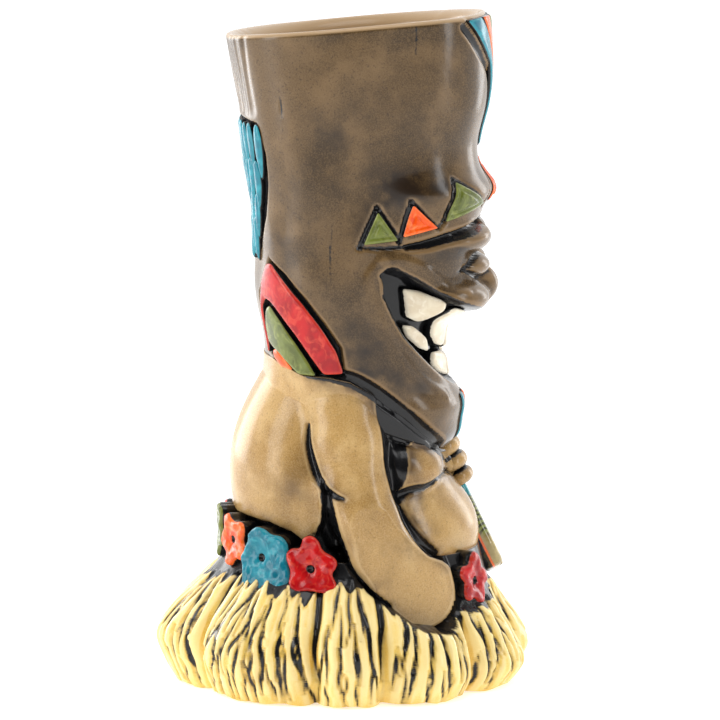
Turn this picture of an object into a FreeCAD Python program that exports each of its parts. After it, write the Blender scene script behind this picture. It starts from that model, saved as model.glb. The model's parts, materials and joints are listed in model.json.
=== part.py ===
"""Tiki drinking mug: a carved log head on a seated, hunched body that sits in a grass skirt.

Millimetres. +Z is up, and the origin is the centre of the foot, on the table. The figure faces -Y,
so its right hand is on the -X side. A place round the mug is given by its turn: degrees from the
front towards the right hand, so 0 is the front, 90 the right side, 180 the back and 270 the left.
"""

import FreeCAD, Part
import math
import os

Vector = FreeCAD.Vector

# ---------------------------------------------------------------- driving dimensions
WALL = 4.0                # thickness of the cast wall
SPRIG = 1.6               # how far an applied clay piece stands out of the head
RIM_Z = 193.7             # height of the rim on the mug's axis
RIM_SLOPE = 0.087         # the rim rises towards the front
JAW_Z = 81.3              # height of the joint between head and body on the axis
JAW_SLOPE = -0.414        # that joint drops towards the chin
WAIST_Z = 28.0            # where the body stands in the skirt
FOOT_HOLE_R = 38.0        # hole in the skirt's underside that the floor slab closes
FLOOR_Z = 1.2             # the slab sits this far above the table, inside the foot ring
FLOOR_TOP = 6.0           # inside bottom of the mug

# Sections of the cast masses: height, reach to the back, reach to the front, half width.
HEAD = (
    (58, 20, 23, 21), (66, 21, 28, 24), (73, 22, 34, 27), (80, 23, 35, 29.5), (88, 23.6, 33, 31),
    (100, 23.4, 31.5, 32.5), (115, 25.9, 37, 34), (130, 25.8, 40, 34.5), (147, 27, 41, 35),
    (159, 29, 39.6, 35.5), (172, 31, 42.2, 36.8), (191, 34.6, 43, 38), (208, 38.4, 42.2, 39),
)
BODY = (
    (20, 34, 38, 33), (35, 34.5, 40.5, 34.5), (48, 33.5, 38.5, 35), (60, 33.2, 34.5, 34.5),
    (72, 32.6, 29.5, 33), (84, 29.2, 27, 30.5), (96, 23.5, 26.5, 27), (108, 22, 26, 26),
)
HOLLOW = (
    (4, 20, 24, 20), (14, 27, 31, 26), (28, 29.5, 35, 29.5), (45, 29, 34, 30.5), (62, 28.5, 29, 29.5),
    (76, 24, 25.5, 25), (90, 18.8, 25, 22), (102, 19.2, 26.5, 25.5), (120, 21.5, 32, 29),
    (147, 23, 35, 30.8), (172, 27, 38, 32.8), (191, 30.6, 38.8, 34), (212, 35.4, 38.2, 35.4),
)
# The skirt's sections end with how far the lobes of straw stand out.
SKIRT = (
    (0, 49, 50, 49, 3.6), (6, 52, 54.5, 52, 4.2), (15, 54, 51.5, 53, 4.2), (22, 50, 47.2, 50, 3.4),
    (29, 43.5, 44.2, 44, 2.2), (36, 37.4, 42.6, 38.6, 1), (41, 35.6, 41.4, 36.6, 0.2),
)
SKIRT_HOLLOW = (
    (4, 40, 41, 40, 2), (9, 44, 45, 44, 3), (15, 45, 43.5, 45, 3), (22, 38, 39, 38, 2),
    (28, 29.5, 35, 29.5, 0), (31, 27, 32, 27, 0),
)
LOBE_CREASES = (5, 43, 78, 102, 148, 190, 228, 262, 300, 335)   # turns between the lobes
POINTS_PER_LOBE = 6
POINTS_PER_RING = 24

# Swellings of the head and chest: side, forward and height of the centre, then the three half sizes.
FACE_SWELLINGS = (
    (0, 20, 146, 33, 24.4, 8.5),       # brow ridge
    (14, 27, 133, 15, 15.5, 7),        # right eyelid
    (-14, 27, 133, 15, 15.5, 7),       # left eyelid
    (0, 22, 115.5, 31, 20, 9.5),       # muzzle
    (0, 33, 117, 10, 12.6, 8),         # nose
    (0, 16, 84, 27, 19.5, 8),          # chin
)
CHEST_SWELLINGS = (
    (13, 15, 68, 14, 13.5, 11.5),      # right breast
    (-13, 15, 68, 14, 13.5, 11.5),     # left breast
)

# Stations of the arms: side, forward, height, radius.
RIGHT_ARM = (
    (24, -1, 80, 14.5), (28.5, -0.4, 71, 13.8), (32, 2.6, 60, 11.4), (35, 6, 50, 10.2),
    (37, 11, 41, 9.4), (37.5, 20, 32, 9.6), (36.5, 25, 28, 8.6),
)
LEFT_ARM = (
    (-24, -1, 79.5, 14.4), (-28.8, 0, 71, 13.8), (-33.4, 5, 60.5, 11.2), (-34, 14, 53.5, 9.6),
    (-29, 23, 53, 8.8), (-20.5, 30, 57, 8),
)

# Paddle held in front of the body: where its axis meets the fist, and its sizes.
PADDLE_SIDE = -12.0
PADDLE_LEAN = 26.0        # degrees that it leans back from upright
PADDLE_FIST_FORWARD = 30.0
PADDLE_FIST_Z = 63.0
PADDLE_BLADE_W = 19.0
PADDLE_BLADE_L = 25.0
PADDLE_BLADE_T = 6.5
PADDLE_SHAFT_R = 3.0
PADDLE_SHAFT_UP = 8.0     # shaft above the fist's middle
PADDLE_SHAFT_DOWN = 14.0  # shaft below it, to the blade
FINGER_R = 2.6
FINGER_PITCH = 5.35       # from one finger to the next
FINGER_HALF = 5.0         # half of a finger's straight length
FINGER_REACH = 4.2        # from the shaft's middle to the fingers' middle

# Flowers round the waist: name, turn, height, size against the usual flower.
FLOWERS = (
    ("flower_red_front", 26, 31, 0.95),
    ("flower_red_side", 105, 39.5, 1.08), ("flower_teal_side", 130.5, 41, 1.2),
    ("flower_orange_back", 154, 43.5, 0.95), ("flower_olive_back", 177, 44.5, 1.05),
    ("flower_red_back", 201, 43, 1.0), ("flower_teal_left", 226, 41.5, 1.12),
    ("flower_orange_left", 250, 39.5, 1.0), ("flower_olive_left", 272, 38, 1.0),
    ("flower_red_left", 294, 36, 1.05), ("flower_teal_front", 319, 32.6, 0.9),
)
PETALS = 5
PETAL_R = 3.5
PETAL_REACH = 4.4
FLOWER_CORE_R = 4.6
FLOWER_EYE_R = 1.15
FLOWER_EYE_DEPTH = 1.4
FLOWER_PROUD = 2.4        # how far a flower's face stands out of the body


# ---------------------------------------------------------------- places and basic solids
def place(side, forward, z):
    """A point by how far it is to the figure's right, how far forward, and its height."""
    return Vector(-side, -forward, z)


def outward(turn):
    """Unit vector that points out of the mug at a turn."""
    a = math.radians(turn)
    return Vector(-math.sin(a), -math.cos(a), 0)


def around(turn):
    """Unit vector along the surface at a turn, towards a greater turn."""
    a = math.radians(turn)
    return Vector(-math.cos(a), math.sin(a), 0)


def lobe_swell(turn):
    """-0.6 in a crease between two lobes of straw, +0.4 on the crown of a lobe."""
    creases = list(LOBE_CREASES) + [LOBE_CREASES[0] + 360]
    turn = (turn - creases[0]) % 360 + creases[0]
    for start, end in zip(creases, creases[1:]):
        if start <= turn <= end:
            return abs(math.sin(math.pi * (turn - start) / (end - start))) ** 0.7 - 0.6
    return 0.0


def ring(z, back, front, half_width, lobe, turns):
    """One closed smooth section of a mass, through a point at each turn."""
    middle, half_depth = (front - back) / 2, (front + back) / 2
    points = []
    for turn in turns:
        a = math.radians(turn)
        grow = 1 + lobe * lobe_swell(turn) / half_depth
        points.append(place(half_width * grow * math.sin(a), middle + half_depth * grow * math.cos(a), z))
    curve = Part.BSplineCurve()
    steps = [i / len(points) for i in range(len(points) + 1)]
    curve.interpolate(Points=points, PeriodicFlag=True, Parameters=steps)
    return Part.Wire([curve.toShape()])


def mass(sections, grow=0.0):
    """Solid lofted through plain sections, made larger all round by grow."""
    turns = [i * 360 / POINTS_PER_RING for i in range(POINTS_PER_RING)]
    rings = [ring(z, b + grow, f + grow, w + grow, 0, turns) for z, b, f, w in sections]
    return Part.makeLoft(rings, True, False)


def lobed_mass(sections):
    """Solid lofted through lobed sections, with points that follow the lobes."""
    creases = list(LOBE_CREASES) + [LOBE_CREASES[0] + 360]
    turns = [
        start + (end - start) * i / POINTS_PER_LOBE
        for start, end in zip(creases, creases[1:])
        for i in range(POINTS_PER_LOBE)
    ]
    return Part.makeLoft([ring(*s, turns) for s in sections], True, False)


def ellipsoid(side, forward, z, half_side, half_forward, half_z, grow=0.0):
    """A swelling: a ball stretched to three half sizes."""
    stretch = FreeCAD.Matrix()
    stretch.scale(half_side + grow, half_forward + grow, half_z + grow)
    ball = Part.makeSphere(1).transformGeometry(stretch)
    ball.translate(place(side, forward, z))
    return ball


def above(z, slope):
    """Everything above a plane that crosses the axis at z and rises forward by slope."""
    size = 400
    block = Part.makeBox(size, size, size, Vector(-size / 2, -size / 2, 0))
    block.rotate(Vector(0, 0, 0), Vector(1, 0, 0), -math.degrees(math.atan(slope)))
    block.translate(Vector(0, 0, z))
    return block


def limb(stations):
    """Round-ended limb through stations of side, forward, height and radius."""
    centres = [place(*s[:3]) for s in stations]
    rings = []
    for i, station in enumerate(stations):
        along = centres[min(i + 1, len(centres) - 1)] - centres[max(i - 1, 0)]
        rings.append(Part.Wire([Part.Circle(centres[i], along, station[3]).toShape()]))
    tube = Part.makeLoft(rings, True, False)
    ends = [Part.makeSphere(s[3], place(*s[:3])) for s in (stations[0], stations[-1])]
    return tube.fuse(ends)


def largest(shape):
    """The biggest solid of a shape, without the crumbs that a cut can leave."""
    return max(shape.Solids, key=lambda s: s.Volume)


def fitted(shape, others):
    """The shape with the room of its near neighbours taken out of it."""
    near = [o for o in others if o.BoundBox.intersect(shape.BoundBox)]
    return largest(shape.cut(near)) if near else shape


# ---------------------------------------------------------------- outlines of applied pieces
def polygon(corners):
    """Closed wire through corners given as (offset along the surface, height)."""
    points = [Vector(s, z, 0) for s, z in corners]
    return Part.makePolygon(points + points[:1])


def leaf(middle, bottom, top, width):
    """Upright leaf: two arcs that meet at a bottom and a top point."""
    centre_z = (bottom + top) / 2
    sides = [
        Part.Arc(Vector(middle, bottom, 0), Vector(middle + s * width / 2, centre_z, 0), Vector(middle, top, 0))
        for s in (1, -1)
    ]
    return Part.Wire([side.toShape() for side in sides])


def applied(outline, turn, layer):
    """The outline pressed on to the surface: its prism along the turn's outward line, within a layer."""
    prism = Part.Face(outline).extrude(Vector(0, 0, 70))
    frame = FreeCAD.Matrix()
    u, n = around(turn), outward(turn)
    frame.A11, frame.A21, frame.A31 = u.x, u.y, 0
    frame.A12, frame.A22, frame.A32 = 0, 0, 1
    frame.A13, frame.A23, frame.A33 = n.x, n.y, 0
    # u, up and outward make a left-handed set, so the outline is mirrored and put on the other hand
    flipped = FreeCAD.Matrix()
    flipped.scale(-1, 1, 1)
    prism = prism.mirror(Vector(0, 0, 0), Vector(1, 0, 0))
    frame = frame.multiply(flipped)
    return largest(prism.transformShape(frame).common(layer))


# ---------------------------------------------------------------- the cast vessel
def head_mass(grow=0.0):
    solid = mass(HEAD, grow)
    return solid.fuse([ellipsoid(*s, grow) for s in FACE_SWELLINGS])


def body_mass():
    return mass(BODY).fuse([ellipsoid(*s) for s in CHEST_SWELLINGS])


def head_vessel(solid, hollow):
    """The log head, open at its slanting rim and standing on the jaw joint."""
    trimmed = solid.common(above(JAW_Z, JAW_SLOPE)).cut(above(RIM_Z, RIM_SLOPE))
    return largest(trimmed.cut(hollow))


def body_vessel(solid, hollow):
    """The hunched trunk, from the skirt up to the jaw joint."""
    trimmed = solid.cut(above(JAW_Z, JAW_SLOPE)).common(above(WAIST_Z, 0))
    return largest(trimmed.cut(hollow))


def grass_skirt(body):
    """The hollow skirt of straw lobes, with a collar round the body and a flat foot ring."""
    collar_room = body.common(above(WAIST_Z, 0))
    foot_hole = Part.makeCylinder(FOOT_HOLE_R, FLOOR_TOP, Vector(0, 0, 0))
    return largest(lobed_mass(SKIRT).cut([lobed_mass(SKIRT_HOLLOW), collar_room, foot_hole]))


def floor_slab():
    """The disc that closes the mug from below, set in from the foot ring."""
    return Part.makeCylinder(FOOT_HOLE_R, FLOOR_TOP - FLOOR_Z, Vector(0, 0, FLOOR_Z))


# ---------------------------------------------------------------- applied pieces of the head
CREST = (                 # name, and the plume's edges at the rim as offsets from the middle
    ("crest_plume_teal", 20.6, 26.4), ("crest_plume_orange", 13.6, 19.6), ("crest_plume_olive", 6.6, 12.6),
)
CREST_MIDDLE_HALF = 5.6
CREST_TOP_Z = 202.0
CREST_BOTTOM_Z = 156.0
CREST_FOOT_SHARE = 0.34   # the plumes are this much of their width apart where they end
CREST_HOLLOW = 2.2        # how far a plume bows in between its ends


def plume(inner, outer):
    """Plume of the forehead fan: it narrows and curves in as it goes down."""
    middle_z = (CREST_TOP_Z + CREST_BOTTOM_Z) / 2
    foot_in, foot_out = inner * CREST_FOOT_SHARE, outer * CREST_FOOT_SHARE
    bow_in = (inner + foot_in) / 2 - CREST_HOLLOW * inner / 26
    bow_out = (outer + foot_out) / 2 - CREST_HOLLOW * outer / 26
    left = Part.Arc(Vector(outer, CREST_TOP_Z, 0), Vector(bow_out, middle_z, 0), Vector(foot_out, CREST_BOTTOM_Z, 0))
    right = Part.Arc(Vector(foot_in, CREST_BOTTOM_Z, 0), Vector(bow_in, middle_z, 0), Vector(inner, CREST_TOP_Z, 0))
    across = [
        Part.LineSegment(left.EndPoint, right.StartPoint), Part.LineSegment(right.EndPoint, left.StartPoint)
    ]
    return Part.Wire([left.toShape(), across[0].toShape(), right.toShape(), across[1].toShape()])


def middle_plume():
    half, foot = CREST_MIDDLE_HALF, CREST_MIDDLE_HALF * CREST_FOOT_SHARE
    return polygon(((-half, CREST_TOP_Z), (-foot, CREST_BOTTOM_Z), (foot, CREST_BOTTOM_Z), (half, CREST_TOP_Z)))


def mirrored(shape):
    """The same piece on the figure's other side."""
    return shape.mirror(Vector(0, 0, 0), Vector(1, 0, 0))


def crest_pieces(layer):
    trimmed = layer.cut(above(RIM_Z, RIM_SLOPE))
    pieces = {"crest_plume_middle": applied(middle_plume(), 0, trimmed)}
    for name, inner, outer in CREST:
        pieces[name + "_right"] = applied(plume(inner, outer), 0, trimmed)
        pieces[name + "_left"] = mirrored(pieces[name + "_right"])
    return pieces


# Triangles along the brow: name, turn, height of the base's middle, tilt of the base, width, height.
BROW_TRIANGLES = (
    ("brow_triangle_orange_middle", 0, 141.5, 0, 10, 11.5), ("brow_triangle_olive_inner", 31, 139.5, 20, 12, 10.5),
    ("brow_triangle_orange", 54, 136.3, 12, 11.5, 9), ("brow_triangle_olive_outer", 75, 133.6, 2, 10.5, 9),
)


def triangle(z, tilt, width, height):
    """Triangle on a base that rises towards the face by tilt degrees."""
    c, s = math.cos(math.radians(tilt)), math.sin(math.radians(tilt))
    corners = ((-width / 2, 0), (width / 2, 0), (0, height))
    return polygon([(x * c + y * s * 0.3, z - x * s + y * c) for x, y in corners])


def brow_pieces(layer):
    pieces = {}
    for name, turn, z, tilt, width, height in BROW_TRIANGLES:
        piece = applied(triangle(z, tilt, width, height), turn, layer)
        if turn == 0:
            pieces[name] = piece
        else:
            pieces[name + "_right"] = piece
            pieces[name + "_left"] = mirrored(piece)
    return pieces


# The grin, as side and height of its edge on the figure's right half, from the upper middle round.
MOUTH_HALF = (
    (0, 108.6), (12, 109.4), (22, 111.6), (29.5, 116), (31.5, 121.4), (33.2, 126.4), (33.9, 124.6),
    (33.4, 115.4), (30, 106.8), (20.3, 97.5), (10.5, 91.4), (0, 89.6),
)
MOUTH_DEPTH = 1.9         # how far the grin is sunk in the face
TOOTH_PROUD = 0.9         # how far the teeth stand out of the face

# Teeth: name, turn, corners as (offset, height).
TEETH = (
    ("upper_tooth_front", 7.5, ((-3.6, 109.6), (4.4, 110.6), (4.6, 101.4), (2.6, 98.6), (-2.6, 98.4), (-4, 101))),
    ("upper_tooth_middle", 32, ((-7, 108.6), (1, 112.2), (9.6, 114.6), (8.6, 108.6), (4.6, 105), (-5.6, 101.6))),
    ("upper_tooth_side", 55, ((3.8, 119.3), (0, 119.8), (-3.2, 116.8), (-4.2, 112.5), (-2.6, 110.3), (3.1, 113.3))),
    ("lower_tooth_front", 7.5, ((-3.4, 96.2), (3.6, 97.2), (3.4, 91.2), (-3, 90.4))),
    ("lower_tooth_middle", 27, ((5.1, 101.2), (-5.1, 98.2), (-4.4, 92.6), (5.1, 96.5))),
    ("lower_tooth_side", 50, ((5.5, 108.5), (3.6, 108.2), (-4.7, 103.8), (-5, 99.4), (0, 102), (4.4, 105.4))),
)


def mouth_room():
    """The sunk grin: its outline, pressed straight back into the face."""
    right = [(side, z) for side, z in MOUTH_HALF]
    left = [(-side, z) for side, z in reversed(MOUTH_HALF[1:-1])]
    return applied(polygon(right + left), 0, head_mass(5).cut(head_mass(-MOUTH_DEPTH)))


def teeth_pieces(room):
    """The teeth, which fill parts of the grin and stand a little proud."""
    layer = room.common(head_mass(TOOTH_PROUD))
    pieces = {}
    for name, turn, corners in TEETH:
        pieces[name + "_right"] = applied(polygon(corners), turn, layer)
        pieces[name + "_left"] = mirrored(pieces[name + "_right"])
    return pieces


# Ear ornaments: three nested pointed leaves behind the jaw. Offsets are from the ear's own turn.
EAR_TURN = 126
EAR_PIECES = (
    ("ear_leaf_red", ((-20, 95.5), (-8, 112), (2.5, 124.6), (7, 122), (11.4, 106), (8.5, 99.5),
                      (6.5, 110), (3.2, 114.8), (-4, 107.5), (-12.4, 95.2))),
    ("ear_leaf_olive", ((-11, 94.6), (-3.2, 105.5), (2.8, 112.6), (5.3, 109), (5.6, 101.4), (2.6, 100.2), (-4.2, 93.6))),
    ("ear_leaf_orange", ((-2.6, 93.4), (1.6, 97.6), (4, 99.2), (3.4, 95.4), (0.8, 92.6))),
)


def ear_pieces(layer):
    pieces = {}
    for name, corners in EAR_PIECES:
        pieces[name + "_right"] = applied(polygon(corners), EAR_TURN, layer)
        pieces[name + "_left"] = mirrored(pieces[name + "_right"])
    return pieces


# Feathers on the back of the head: four rows, the second and last with longer feathers.
FEATHER_ROWS = (           # height of the points, length, number in the row
    (155.6, 11.5, 7), (145.4, 12.4, 6), (137.6, 10.2, 7), (127.8, 12.4, 6),
)
FEATHER_PITCH = 10.4       # degrees of turn between neighbours
FEATHER_WIDTH = 5.2


def feather_rows(layer):
    pieces = {}
    for row, (bottom, length, count) in enumerate(FEATHER_ROWS):
        feathers = [
            applied(leaf(0, bottom, bottom + length, FEATHER_WIDTH), 180 + (i - (count - 1) / 2) * FEATHER_PITCH, layer)
            for i in range(count)
        ]
        pieces["back_feathers_row_%d" % (row + 1)] = Part.makeCompound(feathers)
    return pieces


# Beard: painted strips on the chin, as offsets from the middle.
BEARD = (("beard_strip_middle", -2.4, 2.4), ("beard_strip_right", 3.4, 8.4), ("beard_strip_left", -8.4, -3.4))
BEARD_TOP_Z = 83.5
BEARD_BOTTOM_Z = 72.5


def beard_pieces(layer):
    return {
        name: applied(
            polygon(((a, BEARD_TOP_Z), (a, BEARD_BOTTOM_Z + 1), ((a + b) / 2, BEARD_BOTTOM_Z), (b, BEARD_BOTTOM_Z + 1),
                     (b, BEARD_TOP_Z))), 0, layer)
        for name, a, b in BEARD
    }


# ---------------------------------------------------------------- arms, paddle and flowers
def paddle_axis():
    """Unit vector down the paddle, from the fist to the blade."""
    a = math.radians(PADDLE_LEAN)
    return place(0, math.sin(a), -math.cos(a))


def paddle():
    """Short carved paddle: a shaft and a flat blade with a round end."""
    down = paddle_axis()
    fist = place(PADDLE_SIDE, PADDLE_FIST_FORWARD, PADDLE_FIST_Z)
    shaft = Part.makeCylinder(PADDLE_SHAFT_R, PADDLE_SHAFT_UP + PADDLE_SHAFT_DOWN, fist - down * PADDLE_SHAFT_UP, down)
    half, length = PADDLE_BLADE_W / 2, PADDLE_BLADE_L
    round_start = length - half * 0.6
    outline = [
        Part.LineSegment(Vector(-PADDLE_SHAFT_R, 0, 0), Vector(-half, 7, 0)).toShape(),
        Part.LineSegment(Vector(-half, 7, 0), Vector(-half, round_start, 0)).toShape(),
        Part.Arc(Vector(-half, round_start, 0), Vector(0, length, 0), Vector(half, round_start, 0)).toShape(),
        Part.LineSegment(Vector(half, round_start, 0), Vector(half, 7, 0)).toShape(),
        Part.LineSegment(Vector(half, 7, 0), Vector(PADDLE_SHAFT_R, 0, 0)).toShape(),
        Part.LineSegment(Vector(PADDLE_SHAFT_R, 0, 0), Vector(-PADDLE_SHAFT_R, 0, 0)).toShape(),
    ]
    blade = Part.Face(Part.Wire(outline)).extrude(Vector(0, 0, PADDLE_BLADE_T))
    blade.translate(Vector(0, 0, -PADDLE_BLADE_T / 2))
    blade.rotate(Vector(0, 0, 0), Vector(1, 0, 0), -90 - PADDLE_LEAN)
    blade.translate(fist + down * (PADDLE_SHAFT_DOWN - 2))
    return shaft.fuse(blade)


def fingers():
    """Four fingers that lie across the front of the paddle's shaft."""
    down = paddle_axis()
    fist = place(PADDLE_SIDE, PADDLE_FIST_FORWARD, PADDLE_FIST_Z)
    front = place(0, math.cos(math.radians(PADDLE_LEAN)), math.sin(math.radians(PADDLE_LEAN)))
    made = []
    for i in range(4):
        middle = fist + down * ((i - 1.5) * FINGER_PITCH) + front * FINGER_REACH
        ends = [middle + Vector(s * FINGER_HALF, 0, 0) for s in (-1, 1)]
        rod = Part.makeCylinder(FINGER_R, 2 * FINGER_HALF, ends[0], Vector(1, 0, 0))
        made.append(rod.fuse([Part.makeSphere(FINGER_R, e) for e in ends]))
    return made


def flower(turn, z, scale, host_radius):
    """Five-petalled flower with a pressed eye, flat on the waist, its face turned outwards."""
    n, u = outward(turn), around(turn)
    up = Vector(0, 0, 1)
    face = n * (host_radius + FLOWER_PROUD) + up * z
    depth = 14
    back = face - n * depth
    discs = [Part.makeCylinder(FLOWER_CORE_R * scale, depth, back, n)]
    for i in range(PETALS):
        a = 2 * math.pi * i / PETALS
        centre = back + (u * math.sin(a) + up * math.cos(a)) * PETAL_REACH * scale
        discs.append(Part.makeCylinder(PETAL_R * scale, depth, centre, n))
    eye = Part.makeCylinder(FLOWER_EYE_R * scale, FLOWER_EYE_DEPTH, face - n * FLOWER_EYE_DEPTH, n)
    return discs[0].fuse(discs[1:]).cut(eye)


def waist_radius(turn, z):
    """How far the skirt and body reach out of the axis at a turn and height."""
    table = [s[:4] for s in SKIRT]
    for low, high in zip(table, table[1:]):
        if low[0] <= z <= high[0] or high is table[-1]:
            share = min(1.0, (z - low[0]) / (high[0] - low[0]))
            back, front, width = (low[i] + (high[i] - low[i]) * share for i in (1, 2, 3))
            break
    a = math.radians(turn)
    depth = front if math.cos(a) > 0 else back
    return 1 / math.hypot(math.sin(a) / width, math.cos(a) / depth)


# ---------------------------------------------------------------- assembly
def build():
    hollow = mass(HOLLOW)
    head_solid = head_mass()
    body_solid = body_mass()
    room = mouth_room()
    parts = {
        "head_vessel": head_vessel(head_solid.cut(room), hollow),
        "body_vessel": body_vessel(body_solid, hollow),
        "grass_skirt": grass_skirt(body_solid),
        "floor_slab": floor_slab(),
    }
    layer = head_mass(SPRIG).cut(head_solid).common(above(JAW_Z, JAW_SLOPE))
    for make in (crest_pieces, brow_pieces, ear_pieces, feather_rows, beard_pieces):
        parts.update(make(layer))
    parts.update(teeth_pieces(room))

    vessel = [body_solid.cut(above(JAW_Z, JAW_SLOPE)), head_solid.common(above(JAW_Z, JAW_SLOPE)), lobed_mass(SKIRT)]
    parts["right_arm"] = fitted(limb(RIGHT_ARM), vessel)
    parts["paddle"] = fitted(paddle(), vessel)
    parts["left_arm"] = fitted(limb(LEFT_ARM), vessel + [parts["paddle"]])
    held = vessel + [parts["paddle"], parts["left_arm"]]
    parts["left_fingers"] = Part.makeCompound([fitted(f, held) for f in fingers()])
    # each flower is pressed on to what is already there
    placed = vessel + [parts["right_arm"], parts["left_arm"], parts["paddle"]]
    for name, turn, z, scale in FLOWERS:
        raw = flower(turn, z, scale, waist_radius(turn, z))
        parts[name] = fitted(raw, placed)
        placed.append(raw)
    return parts


def main():
    os.makedirs("parts", exist_ok=True)
    for name, shape in build().items():
        shape.exportStep("parts/%s.step" % name)
        print("%-32s %10.1f mm3  valid %s  solids %d" % (name, shape.Volume, shape.isValid(), len(shape.Solids)))


main()
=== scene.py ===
# %% [markdown]
# # A glazed tiki mug
# The mug is cast in stoneware and carved while the clay is soft: a log-shaped head with a wide grin, sitting on a
# hunched body in a grass skirt. Black glaze is wiped into every cut, and coloured glazes fill the raised shapes.
# This lesson builds it as a potter would: walls first, then cuts, then applied pieces, then glazes.

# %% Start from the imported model
import bmesh
import bpy
import json
import math
import numpy as np
from mathutils import Matrix, Vector

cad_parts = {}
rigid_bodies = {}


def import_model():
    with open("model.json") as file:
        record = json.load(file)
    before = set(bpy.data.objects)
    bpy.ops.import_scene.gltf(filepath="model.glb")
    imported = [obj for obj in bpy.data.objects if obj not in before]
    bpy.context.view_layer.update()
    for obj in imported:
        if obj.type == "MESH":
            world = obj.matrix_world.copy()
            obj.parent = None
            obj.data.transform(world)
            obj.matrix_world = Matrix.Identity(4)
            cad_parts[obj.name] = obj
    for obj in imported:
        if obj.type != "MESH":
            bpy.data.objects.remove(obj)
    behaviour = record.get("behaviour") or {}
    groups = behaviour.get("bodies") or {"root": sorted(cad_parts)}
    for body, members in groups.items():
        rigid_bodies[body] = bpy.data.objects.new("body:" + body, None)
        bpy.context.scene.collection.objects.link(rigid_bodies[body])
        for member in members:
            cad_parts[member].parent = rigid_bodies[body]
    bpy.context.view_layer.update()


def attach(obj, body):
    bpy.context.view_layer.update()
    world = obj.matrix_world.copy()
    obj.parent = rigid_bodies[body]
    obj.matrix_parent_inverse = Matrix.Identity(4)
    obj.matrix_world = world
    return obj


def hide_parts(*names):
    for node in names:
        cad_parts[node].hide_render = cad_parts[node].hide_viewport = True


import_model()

MM = 0.001
ONE_DEGREE = np.radians(1)

# %% [markdown]
# ## Where things are
# Every place on the mug is a *turn* (degrees from the front towards the figure's right hand), a height and a distance
# from the axis, in millimetres. Drawing on the wall with turn and height is like drawing on an unrolled label.

# %% Turn, height and reach to points
def point(turn, z, r):
    """Metres for turn, height and reach, given as numbers or arrays."""
    a = np.radians(turn)
    return np.stack([-r * np.sin(a), -r * np.cos(a), z + 0 * r], -1) * MM


def wrapped(turn):
    """A turn brought between -180 and 180."""
    return (turn + 180) % 360 - 180


def smooth_rows(z, table):
    """The columns of a table at heights z, on a smooth curve through its rows."""
    rows = np.array(table, float)
    x, y = rows[:, 0], rows[:, 1:]
    slope = np.gradient(y, x, axis=0)
    z = np.clip(z, x[0], x[-1])
    i = np.clip(np.searchsorted(x, z) - 1, 0, len(x) - 2)
    h = (x[i + 1] - x[i])[..., None]
    f = ((z - x[i])[..., None]) / h
    ease = f * f * (3 - 2 * f)
    bend = f * (1 - f)
    return y[i] * (1 - ease) + y[i + 1] * ease + h * bend * (slope[i] * (1 - f) - slope[i + 1] * f)


def ramp(x, low, high):
    """0 below low, 1 above high, smooth between."""
    f = np.clip((x - low) / (high - low), 0, 1)
    return f * f * (3 - 2 * f)


# %% [markdown]
# ## Clay masses
# The wall is a smooth union of simple masses: oval tubes, stretched balls and tapered limbs. Each is a function that
# says how far a point is outside it, and *melt* joins two of them with a soft fillet, as a thumb does with clay. The
# wall's reach at a turn and height comes from walking in from outside until the clay is met.

# %% Masses
def tube_of(z, table, corner=2.0):
    """Gap function of a tube of oval sections, prepared for fixed heights."""
    back, front, half = np.moveaxis(smooth_rows(z, table), -1, 0)
    middle, deep = (front - back) / 2, (front + back) / 2

    def gap(s, f):
        k = (np.abs(s / half) ** corner + np.abs((f - middle) / deep) ** corner) ** (1 / corner)
        return (k - 1) * (half + deep) / 2
    return gap


def ball_of(z, side, forward, height, half_side, half_forward, half_z):
    """Gap function of a stretched ball."""
    dz = (z - height) / half_z

    def gap(s, f):
        x, y = (s - side) / half_side, (f - forward) / half_forward
        k = np.sqrt(x * x + y * y + dz * dz) + 1e-6
        g = np.sqrt((x / half_side) ** 2 + (y / half_forward) ** 2 + (dz / half_z) ** 2) + 1e-9
        return k * (k - 1) / g
    return gap


def limb_of(z, start, end):
    """Gap function of a tapered limb between two stations of side, forward, height and radius."""
    a, b = np.array(start[:3], float), np.array(end[:3], float)
    ab = b - a
    length = float(ab @ ab)

    def gap(s, f):
        t = ((s - a[0]) * ab[0] + (f - a[1]) * ab[1] + (z - a[2]) * ab[2]) / length
        t = np.clip(t, 0, 1)
        x, y, w = s - a[0] - t * ab[0], f - a[1] - t * ab[1], z - a[2] - t * ab[2]
        return np.sqrt(x * x + y * y + w * w) - (start[3] + t * (end[3] - start[3]))
    return gap


def melt(a, b, soft):
    """Smooth union of two gaps."""
    h = np.clip(0.5 + 0.5 * (b - a) / soft, 0, 1)
    return b + (a - b) * h - soft * h * (1 - h)


def cast_wall(turn, z, gaps):
    """Reach of the outermost clay at each turn and height. gaps is a list of (gap, softness of its joint)."""
    far_outside, steps, stride = 72.0, 46, 0.8
    r = np.full(turn.shape, far_outside)
    s, f = np.sin(np.radians(turn)), np.cos(np.radians(turn))
    for _ in range(steps):
        total = gaps[0][0](r * s, r * f)
        for gap, soft in gaps[1:]:
            total = melt(total, gap(r * s, r * f), soft)
        r = r - stride * total
    return r
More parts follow.
